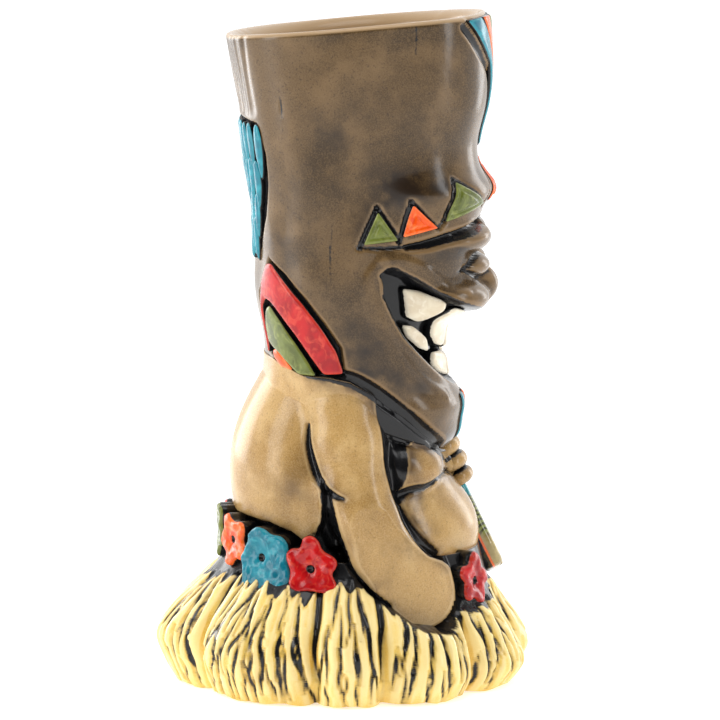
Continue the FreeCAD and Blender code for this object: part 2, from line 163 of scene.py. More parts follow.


# %% [markdown]
# ## Carving tools
# A *Wall* keeps turn, height and reach for a grid of points, and beside them three records for the glaze: how far a
# point is from pooled black glaze, how much painted shade darkens the brown there, and how sharp an edge it lies on.
# Its tools press grooves along a drawn line, sink or raise an outlined field, paint patches of shade, and look up the
# wall for pieces laid on it.

# %% The wall and its tools
def drawn(points, step=0.5):
    """Dense smooth line through a few (turn, height, half width) points."""
    p = np.array(points, float)
    usual_arc = 0.6                                   # millimetres round the wall in a degree
    length = np.hypot(np.diff(p[:, 0]) * usual_arc, np.diff(p[:, 1]))
    at = np.concatenate([[0], np.cumsum(length)])
    n = max(2, int(at[-1] / step))
    return smooth_rows(np.linspace(0, at[-1], n), np.column_stack([at, p]))


def outline_gap(x, y, corners):
    """Signed distance from points to a closed outline: negative inside."""
    c = np.array(corners, float)
    best = np.full(x.shape, 1e9)
    inside = np.zeros(x.shape, bool)
    for (ax, ay), (bx, by) in zip(c, np.roll(c, -1, axis=0)):
        ex, ey = bx - ax, by - ay
        t = np.clip(((x - ax) * ex + (y - ay) * ey) / (ex * ex + ey * ey + 1e-12), 0, 1)
        best = np.minimum(best, (x - ax - t * ex) ** 2 + (y - ay - t * ey) ** 2)
        crosses = (ay > y) != (by > y)
        inside ^= crosses & (x < (bx - ax) * (y - ay) / (by - ay + 1e-12) + ax)
    return np.where(inside, -1, 1) * np.sqrt(best)


def sides(both):
    """1 for the right side of the mug, and -1 too for its mirror image."""
    return (1, -1) if both else (1,)


def turned_over(points, sign):
    """A drawn line on the right side, or on the left if sign is -1."""
    return [(sign * p[0], *p[1:]) for p in points]


class Wall:
    """A grid of places on the clay, with what the glaze has to know of each."""

    CLEAR = 6.0                                       # a pool record this far from any black

    def __init__(self, turns, share, low, high):
        """turns: one per column; share: 0 to 1 per row; low and high: height of each column's ends."""
        self.turns, self.low, self.high = turns, low, high
        self.turn = np.repeat(turns[None, :], len(share), axis=0)
        self.z = low[None, :] + share[:, None] * (high - low)[None, :]
        self.share = share

    def settle(self, reach):
        """Take the cast shape, with no black and no painted shade on it yet."""
        self.r = reach
        self.pool = np.full(reach.shape, self.CLEAR)
        self.painted_shade = np.zeros(reach.shape)
        self.plain = reach.copy()

    def window(self, t, z, margin):
        """Rows and columns near a drawn line, to save time."""
        smallest_arc = 0.45                           # millimetres round the wall in a degree
        middle, half = (t.min() + t.max()) / 2, (t.max() - t.min()) / 2
        columns = np.abs(wrapped(self.turns - middle)) <= half + margin / smallest_arc
        rows = ((self.z >= z.min() - margin) & (self.z <= z.max() + margin)).any(axis=1)
        return np.ix_(np.flatnonzero(rows), np.flatnonzero(columns))

    def line_gap(self, points, margin):
        """Window of the wall and its distance from the edge of a drawn line."""
        line = drawn(points)
        w = self.window(line[:, 0], line[:, 1], margin + line[:, 2].max())
        turn, z, arc = self.turn[w], self.z[w], ONE_DEGREE * self.plain[w]
        best = np.full(turn.shape, 1e9)
        for t, h, half in line:
            best = np.minimum(best, np.hypot(arc * wrapped(turn - t), z - h) - half)
        return w, best

    def groove(self, points, depth, soft=0.8, black=0.15, both=True):
        """Press a groove, and let black glaze pool in it."""
        for sign in sides(both):
            w, gap = self.line_gap(turned_over(points, sign), soft + 3)
            self.r[w] -= depth * ramp(-gap, -soft, 0.5)
            if black is not None:
                self.pool[w] = np.minimum(self.pool[w], gap - black)

    def ridge(self, points, height, soft=1.5):
        """Raise a soft ridge along a line, on both sides."""
        for sign in sides(True):
            w, gap = self.line_gap(turned_over(points, sign), soft)
            self.r[w] += height * ramp(-gap, -soft, 0.4)

    def field(self, corners, depth, soft=0.8, black=0.0, both=True, round_off=0.0):
        """Sink an outlined field below the wall, with black glaze over it."""
        for sign in sides(both):
            c = np.array(turned_over(corners, sign), float)
            middle = (c[:, 0].min() + c[:, 0].max()) / 2
            w = self.window(c[:, 0], c[:, 1], soft + 4)
            k = ONE_DEGREE * float(self.plain[w].mean())
            x = wrapped(self.turn[w] - middle) * k
            outline = np.column_stack([(c[:, 0] - middle) * k, c[:, 1]])
            gap = outline_gap(x, self.z[w], outline) - round_off
            self.r[w] -= depth * ramp(-gap, -soft * 0.3, soft * 0.7)
            self.pool[w] = np.minimum(self.pool[w], gap - black)

    def paint_shade(self, turn, z, wide, tall, amount):
        """Paint a soft patch of shade."""
        x = wrapped(self.turn - turn) * ONE_DEGREE * self.plain / wide
        y = (self.z - z) / tall
        self.painted_shade += amount * np.exp(-(x * x + y * y))

    def paint_shade_pairs(self, patches):
        """Paint soft patches of shade, given as turn, height, width, tallness and amount, on both sides."""
        for turn, *patch in patches:
            for sign in sides(True):
                self.paint_shade(sign * turn, *patch)

    def look_up(self, values, turn, z):
        """Values of the wall at any turns and heights."""
        cols, rows = len(self.turns), len(self.share)
        u = ((turn - self.turns[0]) % 360) / 360 * cols
        c = np.floor(u).astype(int)
        fu = u - c
        c0, c1 = c % cols, (c + 1) % cols
        low = self.low[c0] * (1 - fu) + self.low[c1] * fu
        high = self.high[c0] * (1 - fu) + self.high[c1] * fu
        v = np.clip((z - low) / (high - low), 0, 1) * (rows - 1)
        r = np.clip(np.floor(v).astype(int), 0, rows - 2)
        fv = v - r
        top = values[r, c0] * (1 - fu) + values[r, c1] * fu
        up = values[r + 1, c0] * (1 - fu) + values[r + 1, c1] * fu
        return top * (1 - fv) + up * fv


def blurred(values, times):
    """Values averaged with their neighbours, round the mug and up and down."""
    for _ in range(times):
        values = (values + np.roll(values, 1, 1) + np.roll(values, -1, 1)) / 3
        padded = np.vstack([values[:1], values, values[-1:]])
        values = (padded[:-2] + padded[1:-1] + padded[2:]) / 3
    return values


def lumps(turn, z, seed, pitch, waves=14):
    """Smooth hand-made unevenness, about -1 to 1, with bumps about pitch millimetres apart."""
    rng = np.random.default_rng(seed)
    total = np.zeros(np.shape(turn))
    for _ in range(waves):
        around_count = rng.integers(1, max(2, int(260 / pitch)))
        rise = rng.uniform(-1, 1) * 2 * math.pi / pitch
        total += np.sin(np.radians(turn) * around_count + z * rise + rng.uniform(0, 6.28))
    return total / math.sqrt(waves)


# %% [markdown]
# ## Pieces
# A wall becomes one closed piece: its outside rows, the rounded lip, the inside rows, and back to the start, so the
# grid closes both ways like an inner tube. `create_grid` makes the faces and every vertex is then moved to its place.
# The glaze records go along as named attributes, which the materials read.

# %% Making a mesh from a grid of places
def new_piece(name, bm, material, stands_for=()):
    """Finish a bmesh as an object that rides on the mug."""
    mesh = bpy.data.meshes.new(name)
    bm.to_mesh(mesh)
    bm.free()
    mesh.shade_smooth()
    piece = bpy.data.objects.new(name, mesh)
    bpy.context.scene.collection.objects.link(piece)
    piece.data.materials.append(material)
    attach(piece, "root")
    if stands_for:
        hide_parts(*stands_for)
    return piece


def closed_tube(places, records):
    """bmesh of a grid that closes round the mug and from its last row to its first."""
    rows, cols = places.shape[:2]
    bm = bmesh.new()
    bmesh.ops.create_grid(bm, x_segments=cols, y_segments=rows, size=1)
    layers = {k: bm.verts.layers.float.new(k) for k in records}
    rim = []
    for v in bm.verts:
        c, r = round((v.co.x + 1) / 2 * cols), round((v.co.y + 1) / 2 * rows)
        if c in (0, cols) or r in (0, rows):
            rim.append(v)
        c, r = c % cols, r % rows
        v.co = places[r, c]
        for key, layer in layers.items():
            v[layer] = float(records[key][r, c])
    bmesh.ops.remove_doubles(bm, verts=rim, dist=1e-7)
    bmesh.ops.recalc_face_normals(bm, faces=bm.faces)
    return bm


LIP_ROWS, THINNEST_WALL = 7, 2.2


def cut_floor(r):
    """The lowest reach within a few columns and rows of each place, so the inside can keep clear of deep cuts."""
    lowest = r.copy()
    for step in range(-4, 5):
        lowest = np.minimum(lowest, np.roll(r, step, axis=1))
    for _ in range(3):
        above, below = np.vstack([lowest[1:], lowest[-1:]]), np.vstack([lowest[:1], lowest[:-1]])
        lowest = np.minimum(lowest, np.minimum(above, below))
    return blurred(lowest, 2)


def lip(a, b, count, bulge):
    """Rounded rows between two rows, bulging upwards by bulge metres."""
    t = np.linspace(0, 1, count + 2)[1:-1, None, None]
    eased = (1 - np.cos(np.pi * t)) / 2
    rows = a[None] * (1 - eased) + b[None] * eased
    rows[..., 2] += bulge * np.sin(np.pi * t[..., 0])
    return rows


def wall_piece(name, wall, inner, lip_bulge, material, stands_for):
    """Close a wall: outside, lip, inside (turn, z, r arrays from its top down), and back to the start."""
    sharp = wall.r - blurred(wall.r, 3)
    outside = point(wall.turn, wall.z, wall.r)
    turn, z, r = inner
    inside = point(turn, z, np.minimum(r, wall.look_up(cut_floor(wall.r), turn, z) - THINNEST_WALL))
    top = lip(outside[-1], inside[0], LIP_ROWS, lip_bulge)
    bottom = lip(inside[-1], outside[0], 1, 0)
    places = np.concatenate([outside, top, inside, bottom])
    blank = np.zeros((len(places) - len(outside), places.shape[1]))
    top_edge = blank.copy()
    top_edge[:LIP_ROWS] = np.sin(np.linspace(0.15, 0.85, LIP_ROWS) * np.pi)[:, None] * 1.2
    records = {
        "pool": np.vstack([wall.pool, blank + wall.CLEAR]),
        "painted_shade": np.vstack([wall.painted_shade, blank]),
        "edge": np.vstack([sharp, top_edge]),
        "inside": np.vstack([0 * wall.r, blank + 1]),
    }
    bm = closed_tube(places, records)
    print(name, "faces:", len(bm.faces))
    new_piece(name, bm, material, stands_for)

# %% [markdown]
# ## Glazes
# A glaze is coloured glass on clay. It runs thin over edges, where the pale clay shows, and pools thick and dark in
# hollows. One builder makes them all: a mottled base, fine iron specks, paler edges, painted shade in the creases
# and under parts, then the black that was wiped into the cuts, all under one clear gloss.

# %% The glaze builder
class Glaze:
    """A node material built up coat by coat."""

    def __init__(self, name, roughness=0.2, coat=0.5):
        self.material = bpy.data.materials.new(name)
        self.material.use_nodes = True
        self.tree = self.material.node_tree
        self.shader = self.tree.nodes["Principled BSDF"]
        self.shader.inputs["Roughness"].default_value = roughness
        self.shader.inputs["IOR"].default_value = 1.38
        self.shader.inputs["Coat Weight"].default_value = coat
        self.shader.inputs["Coat Roughness"].default_value = 0.08
        self.place = self.add("ShaderNodeTexCoord").outputs["Object"]

    def add(self, kind, **inputs):
        """A node, with its sockets set to numbers or fed from other nodes."""
        node = self.tree.nodes.new(kind)
        for key, value in inputs.items():
            self.feed(node.inputs[key.replace("_", " ")], value)
        return node

    def feed(self, socket, value):
        if isinstance(value, bpy.types.NodeSocket):
            self.tree.links.new(value, socket)
        else:
            socket.default_value = value

    def cloud(self, scale, detail=3.0, distortion=0.0, low=0.35, high=0.65):
        """Soft noise brought to 0..1."""
        noise = self.add("ShaderNodeTexNoise", Vector=self.place, Scale=scale, Detail=detail)
        noise.inputs["Distortion"].default_value = distortion
        return self.span(noise.outputs["Fac"], low, high)

    def span(self, value, low, high, start=0.0, end=1.0):
        """A smooth change from start to end while value goes from low to high."""
        node = self.add("ShaderNodeMapRange", Value=value)
        node.interpolation_type = "SMOOTHSTEP"
        for key, number in (("From Min", low), ("From Max", high), ("To Min", start), ("To Max", end)):
            node.inputs[key].default_value = number
        return node.outputs["Result"]

    def record(self, name):
        """One of the records that the mesh carries."""
        node = self.add("ShaderNodeAttribute")
        node.attribute_name = name
        return node.outputs["Fac"]

    def math(self, operation, a, b):
        node = self.add("ShaderNodeMath")
        node.operation = operation
        self.feed(node.inputs[0], a)
        self.feed(node.inputs[1], b)
        return node.outputs["Value"]

    def mix(self, amount, a, b):
        """One colour over another."""
        node = self.add("ShaderNodeMix")
        node.data_type = "RGBA"
        self.feed(node.inputs["Factor"], amount)
        for socket, value in ((node.inputs[6], a), (node.inputs[7], b)):
            self.feed(socket, (*value, 1.0) if isinstance(value, tuple) else value)
        return node.outputs[2]

    def share(self, amount, of):
        """A part of a mask."""
        return self.math("MULTIPLY", of, amount)

    def finish(self, colour, height, bump):
        """Connect the colour and a faint unevenness of the surface."""
        self.tree.links.new(colour, self.shader.inputs["Base Color"])
        node = self.add("ShaderNodeBump", Height=height, Strength=bump, Distance=0.0002)
        self.tree.links.new(node.outputs["Normal"], self.shader.inputs["Normal"])
        return self.material


BLACK, INSIDE = (0.009, 0.009, 0.010), (0.46, 0.31, 0.17)
THIN_COAT = 0.08


def wall_glaze(name, thin, middle, deep, painted_shade, speck=0.5, ragged=0.35, edging=0.7):
    """Glaze of the cast walls, with specks, painted shade and pooled black."""
    g = Glaze(name, 0.22, THIN_COAT)
    colour = g.mix(g.cloud(30, 5, 1.2, 0.40, 0.62), middle, deep)
    colour = g.mix(g.share(0.45, g.cloud(95, 3, 0.3, 0.45, 0.75)), colour, thin)
    specks = g.cloud(1500, 2, 0, 0.56, 0.70)
    colour = g.mix(g.share(speck, specks), colour, painted_shade)
    grain = g.cloud(2600, 2, 0, 0.40, 0.66)
    colour = g.mix(g.share(0.30, grain), colour, thin)
    # Painted shade: the shade record, broken up by noise, darkens the colour towards the same dark colour that paints
    # the iron specks.
    shade_amount = g.math("MULTIPLY", g.record("painted_shade"), g.cloud(160, 3, 0, 0.1, 0.75))
    colour = g.mix(g.span(shade_amount, 0.0, 0.9), colour, painted_shade)
    colour = g.mix(g.share(edging, g.span(g.record("edge"), 0.03, 0.32)), colour, thin)
    colour = g.mix(g.record("inside"), colour, INSIDE)
    black = g.math("ADD", g.record("pool"), g.share(-ragged, g.cloud(900, 3, 0, 0.2, 0.8)))
    colour = g.mix(g.span(black, -0.30, 0.06, 1.0, 0.0), colour, BLACK)
    return g.finish(colour, g.cloud(420, 2, 0, 0.2, 0.8), 0.10)


def sprig_glaze(name, thin, middle, deep):
    """Bright glaze of the applied pieces: paler where it runs thin on edges, deeper in pools."""
    g = Glaze(name, 0.2, THIN_COAT)
    colour = g.mix(g.cloud(170, 4, 0.8), middle, deep)
    colour = g.mix(g.share(0.6, g.cloud(330, 4, 1.2, 0.48, 0.72)), colour, thin)
    colour = g.mix(g.share(0.42, g.span(g.record("edge"), 0.25, 0.95)), colour, thin)
    colour = g.mix(g.span(g.record("pool"), -0.05, 0.05, 1.0, 0.0), colour, BLACK)
    return g.finish(colour, g.cloud(520, 2, 0, 0.2, 0.8), 0.12)


# The last colour of each wall glaze is the dark of its iron specks and of its painted shade.
GLAZES = {
    "brown": wall_glaze("Brown glaze", (0.245, 0.150, 0.066), (0.112, 0.066, 0.026), (0.052, 0.030, 0.011),
                        (0.020, 0.012, 0.007)),
    "tan": wall_glaze("Tan glaze", (0.70, 0.49, 0.24), (0.49, 0.300, 0.105), (0.36, 0.205, 0.062),
                      (0.090, 0.052, 0.024), speck=0.30, edging=0.4),
    "straw": wall_glaze("Straw glaze", (0.98, 0.80, 0.38), (0.92, 0.64, 0.15), (0.82, 0.52, 0.09),
                        (0.30, 0.18, 0.05), speck=0.10, ragged=0.12),
    "red": sprig_glaze("Red glaze", (0.70, 0.085, 0.045), (0.52, 0.009, 0.010), (0.32, 0.003, 0.006)),
    "teal": sprig_glaze("Teal glaze", (0.05, 0.36, 0.42), (0.004, 0.215, 0.285), (0.002, 0.13, 0.19)),
    "olive": sprig_glaze("Olive glaze", (0.26, 0.28, 0.07), (0.140, 0.170, 0.030), (0.080, 0.100, 0.016)),
    "orange": sprig_glaze("Orange glaze", (0.96, 0.24, 0.05), (0.90, 0.105, 0.006), (0.74, 0.060, 0.003)),
    "tooth": sprig_glaze("Tooth glaze", (0.86, 0.80, 0.68), (0.76, 0.68, 0.52), (0.66, 0.56, 0.40)),
}
print("glazes:", ", ".join(GLAZES))

# %% [markdown]
# ## The head wall
# The head is a hollow log, a little wider at the slanting rim and boxy at the corners of the forehead. The table gives
# its oval sections from the jaw up. Brow, eyelids, cheeks, nose and chin are balls melted on to it, and a light
# unevenness keeps it from looking turned on a lathe.

# %% Head sections and masses
HEAD = (
    (58, 20, 23, 21), (66, 21, 28, 24), (73, 22, 34, 27), (80, 23, 35, 29.5), (88, 23.6, 33, 31),
    (100, 23.4, 31.5, 32.5), (115, 25.9, 37, 34), (130, 25.8, 40, 34.5), (147, 27, 41, 35),
    (159, 29, 39.6, 35.5), (172, 31, 42.2, 36.8), (191, 34.6, 43, 38), (208, 38.4, 42.2, 39),
)
HOLLOW = (
    (4, 20, 24, 20), (14, 27, 31, 26), (28, 29.5, 35, 29.5), (45, 29, 34, 30.5), (62, 28.5, 29, 29.5),
    (76, 24, 25.5, 25), (90, 18.8, 25, 22), (102, 19.2, 26.5, 25.5), (120, 21.5, 32, 29),
    (147, 23, 35, 30.8), (172, 27, 38, 32.8), (191, 30.6, 38.8, 34), (212, 35.4, 38.2, 35.4),
)
RIM_Z, RIM_SLOPE = 193.6, 0.087
JAW_Z, JAW_SLOPE = 81.3, -0.414
HEAD_COLUMNS, HEAD_ROWS = 384, 208


def oval_reach(turn, z, table):
    """Reach of a plain oval section at a turn."""
    back, front, half = np.moveaxis(smooth_rows(z, table), -1, 0)
    m, d = (front - back) / 2, (front + back) / 2
    s, c = np.sin(np.radians(turn)), np.cos(np.radians(turn))
    a = (s / half) ** 2 + (c / d) ** 2
    b = -2 * m * c / d ** 2
    return (-b + np.sqrt(b * b - 4 * a * ((m / d) ** 2 - 1))) / (2 * a)


def slanted(turns, table, z, slope):
    """Height of a slanting plane where it meets a tube at each turn."""
    height = np.full(turns.shape, float(z))
    for _ in range(4):
        height = z + slope * oval_reach(turns, height, table) * np.cos(np.radians(turns))
    return height


def inside_rows(turns, high, low, count, table=HOLLOW):
    """Turn, height and reach of the inside wall, from high down to low."""
    share = np.linspace(1, 0, count)[:, None]
    z = low + (high - low) * share
    turn = np.repeat(turns[None, :], count, axis=0)
    return turn, z, oval_reach(turn, z, table)


turns = np.arange(HEAD_COLUMNS) * 360 / HEAD_COLUMNS
head = Wall(turns, np.linspace(0, 1, HEAD_ROWS), slanted(turns, HEAD, JAW_Z, JAW_SLOPE),
            slanted(turns, HEAD, RIM_Z, RIM_SLOPE))
z = head.z
squareness = 2.15 + 0.5 * ramp(z, 95, 135)
head_masses = [
    (tube_of(z, HEAD, squareness), 0),
    (ball_of(z, 0, 20, 146.5, 34, 24.6, 8.4), 4),                   # brow ridge
    (ball_of(z, 0, 34, 117.5, 8, 12.2, 8), 3),                      # nose
    (ball_of(z, 0, 16, 83, 27, 19.5, 9), 3),                        # chin
]
for side in (1, -1):
    head_masses += [
        (ball_of(z, side * 13, 27, 133.2, 17, 16.4, 6.8), 1.6),     # eyelid
        (ball_of(z, side * 11, 30.4, 124.6, 12.6, 12.6, 5.2), 0.6),     # closed eye
        (ball_of(z, side * 14, 25.5, 115.6, 18, 17, 7.2), 2.5),     # cheek
        (ball_of(z, side * 6.5, 35, 114.5, 4.5, 8.6, 4.2), 1.2),    # nostril wing
    ]
head.settle(cast_wall(head.turn, z, head_masses))
head.r += 0.22 * lumps(head.turn, z, 3, 26)
head.plain = head.r.copy()
print("head reaches", round(float(head.r.min()), 1), "to", round(float(head.r.max()), 1), "mm from the axis")

# %% [markdown]
# ## Carving the head
# The cuts come in the order a carver makes them: the wide mouth is sunk first and its edge lined in black, then the
# lips are left proud, the closed eyes are cut, and the brow is undercut so that glaze pools in a dark band beneath it.

# %% The mouth and the smile
UPPER_LIP = ((73.5, 123.6), (70, 125.2), (62, 123), (52, 119.2), (41, 114.4), (28, 111.9), (11, 109.4), (0, 109.2))
LOWER_LIP = ((72, 117.6), (66, 110.4), (60, 105.2), (52, 101), (41, 96.6), (26, 91.8), (8, 88.8), (0, 88.6))


def both_ways(points):
    """A line continued on the other side of the face: left points first."""
    return [(-t, *rest) for t, *rest in points] + [p for p in reversed(points) if p[0] > 0]


mouth = both_ways(UPPER_LIP) + both_ways(LOWER_LIP)[::-1]
MOUTH_DEPTH = 5.6
head.field(mouth, MOUTH_DEPTH, soft=1.0, black=0.1, both=False)
head.groove([(t, z, 0.55) for t, z in both_ways(UPPER_LIP)], 1.1, 0.5, 0.35, both=False)
head.groove([(t, z, 0.5) for t, z in both_ways(LOWER_LIP)], 0.9, 0.5, 0.30, both=False)
SMILE_OUTSIDE = ((72.9, 128, 0.9), (78.9, 122.6, 1.1), (77.9, 113.9, 1.2), (70, 104.6, 1.2), (59.5, 97, 1.1),
                 (43.9, 90.0, 1.0), (31.4, 86.8, 0.8))
SMILE_UPPER = ((73.2, 127.9, 0.9), (65.3, 127.6, 1.0), (57.3, 125.5, 1.0), (48.4, 121.8, 0.9), (38, 118.4, 0.7))
head.ridge(SMILE_OUTSIDE, 0.5, 1.8)
head.ridge(SMILE_UPPER, 0.45, 1.6)

# %% Eyes and brow
head.groove([(34, 124.2, 0.25), (28, 126.6, 0.5), (22, 128.2, 0.6), (12, 129, 0.6), (4, 127, 0.4)], 1.6, 0.6, 0.2)
head.groove([(34, 124.2, 0.25), (28, 122.4, 0.5), (22, 121.2, 0.6), (12, 120.4, 0.6), (4, 122, 0.4)], 1.6, 0.6, 0.2)
head.groove([(12.2, 120, 0.3), (11.4, 115.5, 0.45), (11.8, 110.5, 0.3)], 1.5, 0.7, 0.25)
head.groove([(33, 124.4, 0.5), (37, 123.6, 0.25)], 0.8, 0.5, 0.1)
head.groove([(18, 137.6, 0.7), (32, 135.9, 1.1), (44, 134.3, 1.2), (56, 132.4, 0.9), (63, 131.7, 0.4)], 2.4, 1.0, 0.25)
head.groove([(0, 139.2, 0.3), (9, 138.9, 0.35), (24, 137.6, 0.5), (38, 135.6, 0.5), (56, 132.7, 0.4),
             (74, 131.6, 0.35), (82, 131.7, 0.25)], 1.1, 0.6, 0.15)

# %% [markdown]
# ## The brow triangles and the crest
# A zigzag of black runs over the triangles, and dark wedges part the plumes. The plumes and triangles themselves are
# laid on later; here the clay is only cut away behind them.

# %% Zigzag, plume wedges, cracks
BROW_ZIGZAG = ((84.2, 131.8, 0.7), (76, 143.2, 0.65), (66.2, 133.4, 0.7), (62.1, 145, 0.5), (50.3, 137, 0.4),
               (48, 139.2, 0.4), (44, 151.2, 0.4), (22.4, 142.7, 0.4), (0, 158.2, 0.45))
for start, end in zip(BROW_ZIGZAG, BROW_ZIGZAG[1:]):
    head.groove([start, end], 1.0, 0.5, 0.1)
CREST_BED = ((42, 198), (41.4, 196.8), (30.6, 190.2), (18.8, 184), (13.5, 172.4), (11.3, 159.4), (0, 156.9),
             (-0.4, 156.9), (-0.4, 201), (42, 201))
head.field(CREST_BED, 0.9, 0.8, -0.2)
head.groove([(41.6, 194.6, 1.0), (32.2, 188.6, 1.3), (20.4, 181.6, 1.3), (14.6, 172, 1.0), (11.9, 160.5, 0.5)],
            1.6, 0.8, 0.1)
for crack, depth, soft, black in (
        (((62.3, 196, 0.22), (61.7, 191, 0.18), (62.4, 186, 0.1)), 0.5, 0.35, 0.05),
        (((121.3, 175, 0.16), (120.8, 172, 0.22), (121.2, 169, 0.1)), 0.4, 0.3, 0.05),
        (((97, 139, 0.14), (98.3, 130, 0.2), (97.7, 121, 0.1)), 0.35, 0.3, 0.04)):
    head.groove(crack, depth, soft, black, both=False)
print("face carved")

# %% [markdown]
# ## Ears, feathers and jaw
# Behind the jaw three leaves are set in a sunk black panel. The back of the head is a panel of pointed feathers, cut in
# with vertical flutes above it. The jaw is parted from the shoulders by a deep black crease.

# %% Ear panel, feather panel, jaw crease
head.field([(155.5, 116.5), (147, 120), (137, 127.6), (124, 123.6), (111, 116.6), (101, 109.6), (92.5, 102.6),
            (90.3, 94), (103, 93.4), (116, 93.6), (130, 95.4), (145, 97.6), (155, 99)], 1.3, 0.9, -0.6)
BACK_PANEL = ((138, 167), (133.4, 158), (134.4, 150), (138.4, 140), (146.5, 130.5), (157, 126.5), (168, 125.6),
              (180.5, 125.5), (180.5, 168.5), (160, 168.2), (148, 167.6))
head.field(BACK_PANEL, 0.8, 1.0, -0.2)
for t in np.arange(141, 181, 7.8):
    head.groove([(t, 192, 0.1), (t + 1.2, 182, 0.4), (t + 0.2, 171, 0.9)], 0.35, 2.0, None)
JAW_LINE = ((116.5, 93.5, 0.8), (107.3, 94.3, 1.7), (99.1, 94.2, 1.6), (88.3, 93.4, 1.6), (77.5, 90.2, 1.7),
            (68.9, 86.6, 1.8), (59.7, 82.7, 1.6), (45.5, 76.6, 1.4), (28.7, 71.2, 1.2))
head.groove(JAW_LINE, 1.8, 1.0, 0.5)
jaw_turn, jaw_z = np.array([row[:2] for row in JAW_LINE[::-1]]).T
under_jaw = head.z - np.interp(np.abs(wrapped(head.turn)), jaw_turn, jaw_z)
CHIN_END = 26
head.pool = np.minimum(head.pool, np.where(np.abs(wrapped(head.turn)) > CHIN_END, under_jaw, head.CLEAR))

# %% Painted shade on the head
# Painted shade: soft dark patches round the brow, temples, eyes, jaw and ears, and a band under the back feathers.
head.paint_shade_pairs((
    (55, 149, 14, 5, 0.5), (72, 147, 7, 7, 0.4), (20, 152, 10, 5, 0.35), (84, 136, 7, 9, 0.45), (80, 104, 9, 8, 0.5),
    (92, 100, 8, 8, 0.5), (60, 90, 14, 5, 0.65), (78, 94, 12, 4, 0.75), (45, 129.5, 10, 3, 0.6), (34, 131, 9, 3, 0.4),
    (10, 133, 7, 4, 0.35), (70, 160, 30, 16, 0.30), (60, 148, 16, 7, 0.30), (128, 130, 9, 8, 0.55),
    (44, 186, 6, 10, 0.35), (50, 118, 12, 3, 0.35), (118, 150, 8, 16, 0.22), (96, 170, 12, 12, 0.15)))
head.paint_shade(180, 118, 40, 7, 0.5)
# Painted shade under the chin: darker towards the bottom of the head at the front.
bottom_fade = 1 - ramp(head.z - head.low[None, :], 2.0, 7.5)
head.painted_shade += bottom_fade * ramp(np.cos(np.radians(head.turn)), 0.0, 0.35)
head.painted_shade += 0.10 * lumps(head.turn, head.z, 8, 14)

# %% [markdown]
# ## The finished head
# The outside rows, a rounded lip and the inside rows close into one thick-walled piece.

# %% The head piece
LIP_DROP, LIP_BULGE, HEAD_INNER_ROWS = 2.6, 2.2 * MM, 44
head_inner = inside_rows(turns, head.high - LIP_DROP, head.low, HEAD_INNER_ROWS)
wall_piece("head_wall", head, head_inner, LIP_BULGE, GLAZES["brown"], ("head_vessel",))

# %% [markdown]
# ## Sprigs
# Every coloured shape is a small pillow of clay pressed on to the wall. A fine sheet fills its outline, with the border
# laid exactly on the line; the sheet rises from the border in a rounded edge, and an extruded copy of it sinks into the
# wall behind, so each sprig is a closed solid. The records tell the glaze where the edge is thin and where black lies.

# %% Sheets and pillows
def rounded(corners, radius, steps=4):
    """Outline with its corners rounded off."""
    c = np.array(corners, float)
    line = []
    for before, at, after in zip(np.roll(c, 1, 0), c, np.roll(c, -1, 0)):
        ends = []
        for other in (before, after):
            gap = np.linalg.norm(other - at)
            ends.append(at + (other - at) * min(radius / gap, 0.48))
        for t in np.linspace(0, 1, steps + 1):
            line.append(ends[0] * (1 - t) ** 2 + at * 2 * t * (1 - t) + ends[1] * t ** 2)
    return np.array(line)


def nearest_on(x, y, outline):
    """The nearest place on a closed outline for each point."""
    best = np.full(x.shape, 1e9)
    place = np.zeros((len(x), 2))
    for a, b in zip(outline, np.roll(outline, -1, axis=0)):
        e = b - a
        t = np.clip(((x - a[0]) * e[0] + (y - a[1]) * e[1]) / (e @ e + 1e-12), 0, 1)
        q = a + t[:, None] * e
        gap = (x - q[:, 0]) ** 2 + (y - q[:, 1]) ** 2
        closer = gap < best
        best[closer], place[closer] = gap[closer], q[closer]
    return place


def filled_sheet(outline, pitch):
    """A flat bmesh sheet that fills an outline, its border laid on the line."""
    low, high = outline.min(0) - pitch, outline.max(0) + pitch
    nx, ny = np.ceil((high - low) / pitch).astype(int)
    bm = bmesh.new()
    bmesh.ops.create_grid(bm, x_segments=int(nx), y_segments=int(ny), size=1)
    for v in bm.verts:
        v.co.x = low[0] + (v.co.x + 1) / 2 * nx * pitch
        v.co.y = low[1] + (v.co.y + 1) / 2 * ny * pitch
    centres = np.array([f.calc_center_median()[:2] for f in bm.faces])
    gap = outline_gap(centres[:, 0], centres[:, 1], outline)
    bmesh.ops.delete(bm, geom=[f for f, g in zip(bm.faces[:], gap) if g > 0], context="FACES")
    border = [v for v in bm.verts if v.is_boundary]
    flat = np.array([v.co[:2] for v in border])
    for v, (x, y) in zip(border, nearest_on(flat[:, 0], flat[:, 1], outline)):
        v.co.x, v.co.y = x, y
    return bm


def pillow(depth, edge):
    """0 at the border to 1 once past the rounded edge."""
    t = 1 - np.clip(depth / edge, 0, 1)
    return np.sqrt(np.clip(1 - t * t, 0, 1))


def sheet_depth(bm, outline):
    """Flat places of a sheet's vertices, and how far inside the outline each one is."""
    flat = np.array([v.co[:2] for v in bm.verts])
    depth = np.maximum(-outline_gap(flat[:, 0], flat[:, 1], outline), 0)
    depth[[v.is_boundary for v in bm.verts]] = 0
    return flat[:, 0], flat[:, 1], depth


def thickened(bm, top, under):
    """Extrude a sheet into a closed slab between two sets of places, and return its raised vertices."""
    number = bm.verts.layers.int.new("number")
    for i, v in enumerate(bm.verts):
        v[number] = i
    raised = bmesh.ops.extrude_face_region(bm, geom=bm.faces[:])["geom"]
    raised = {v for v in raised if isinstance(v, bmesh.types.BMVert)}
    for v in bm.verts:
        v.co = top[v[number]] if v in raised else under[v[number]]
    return raised


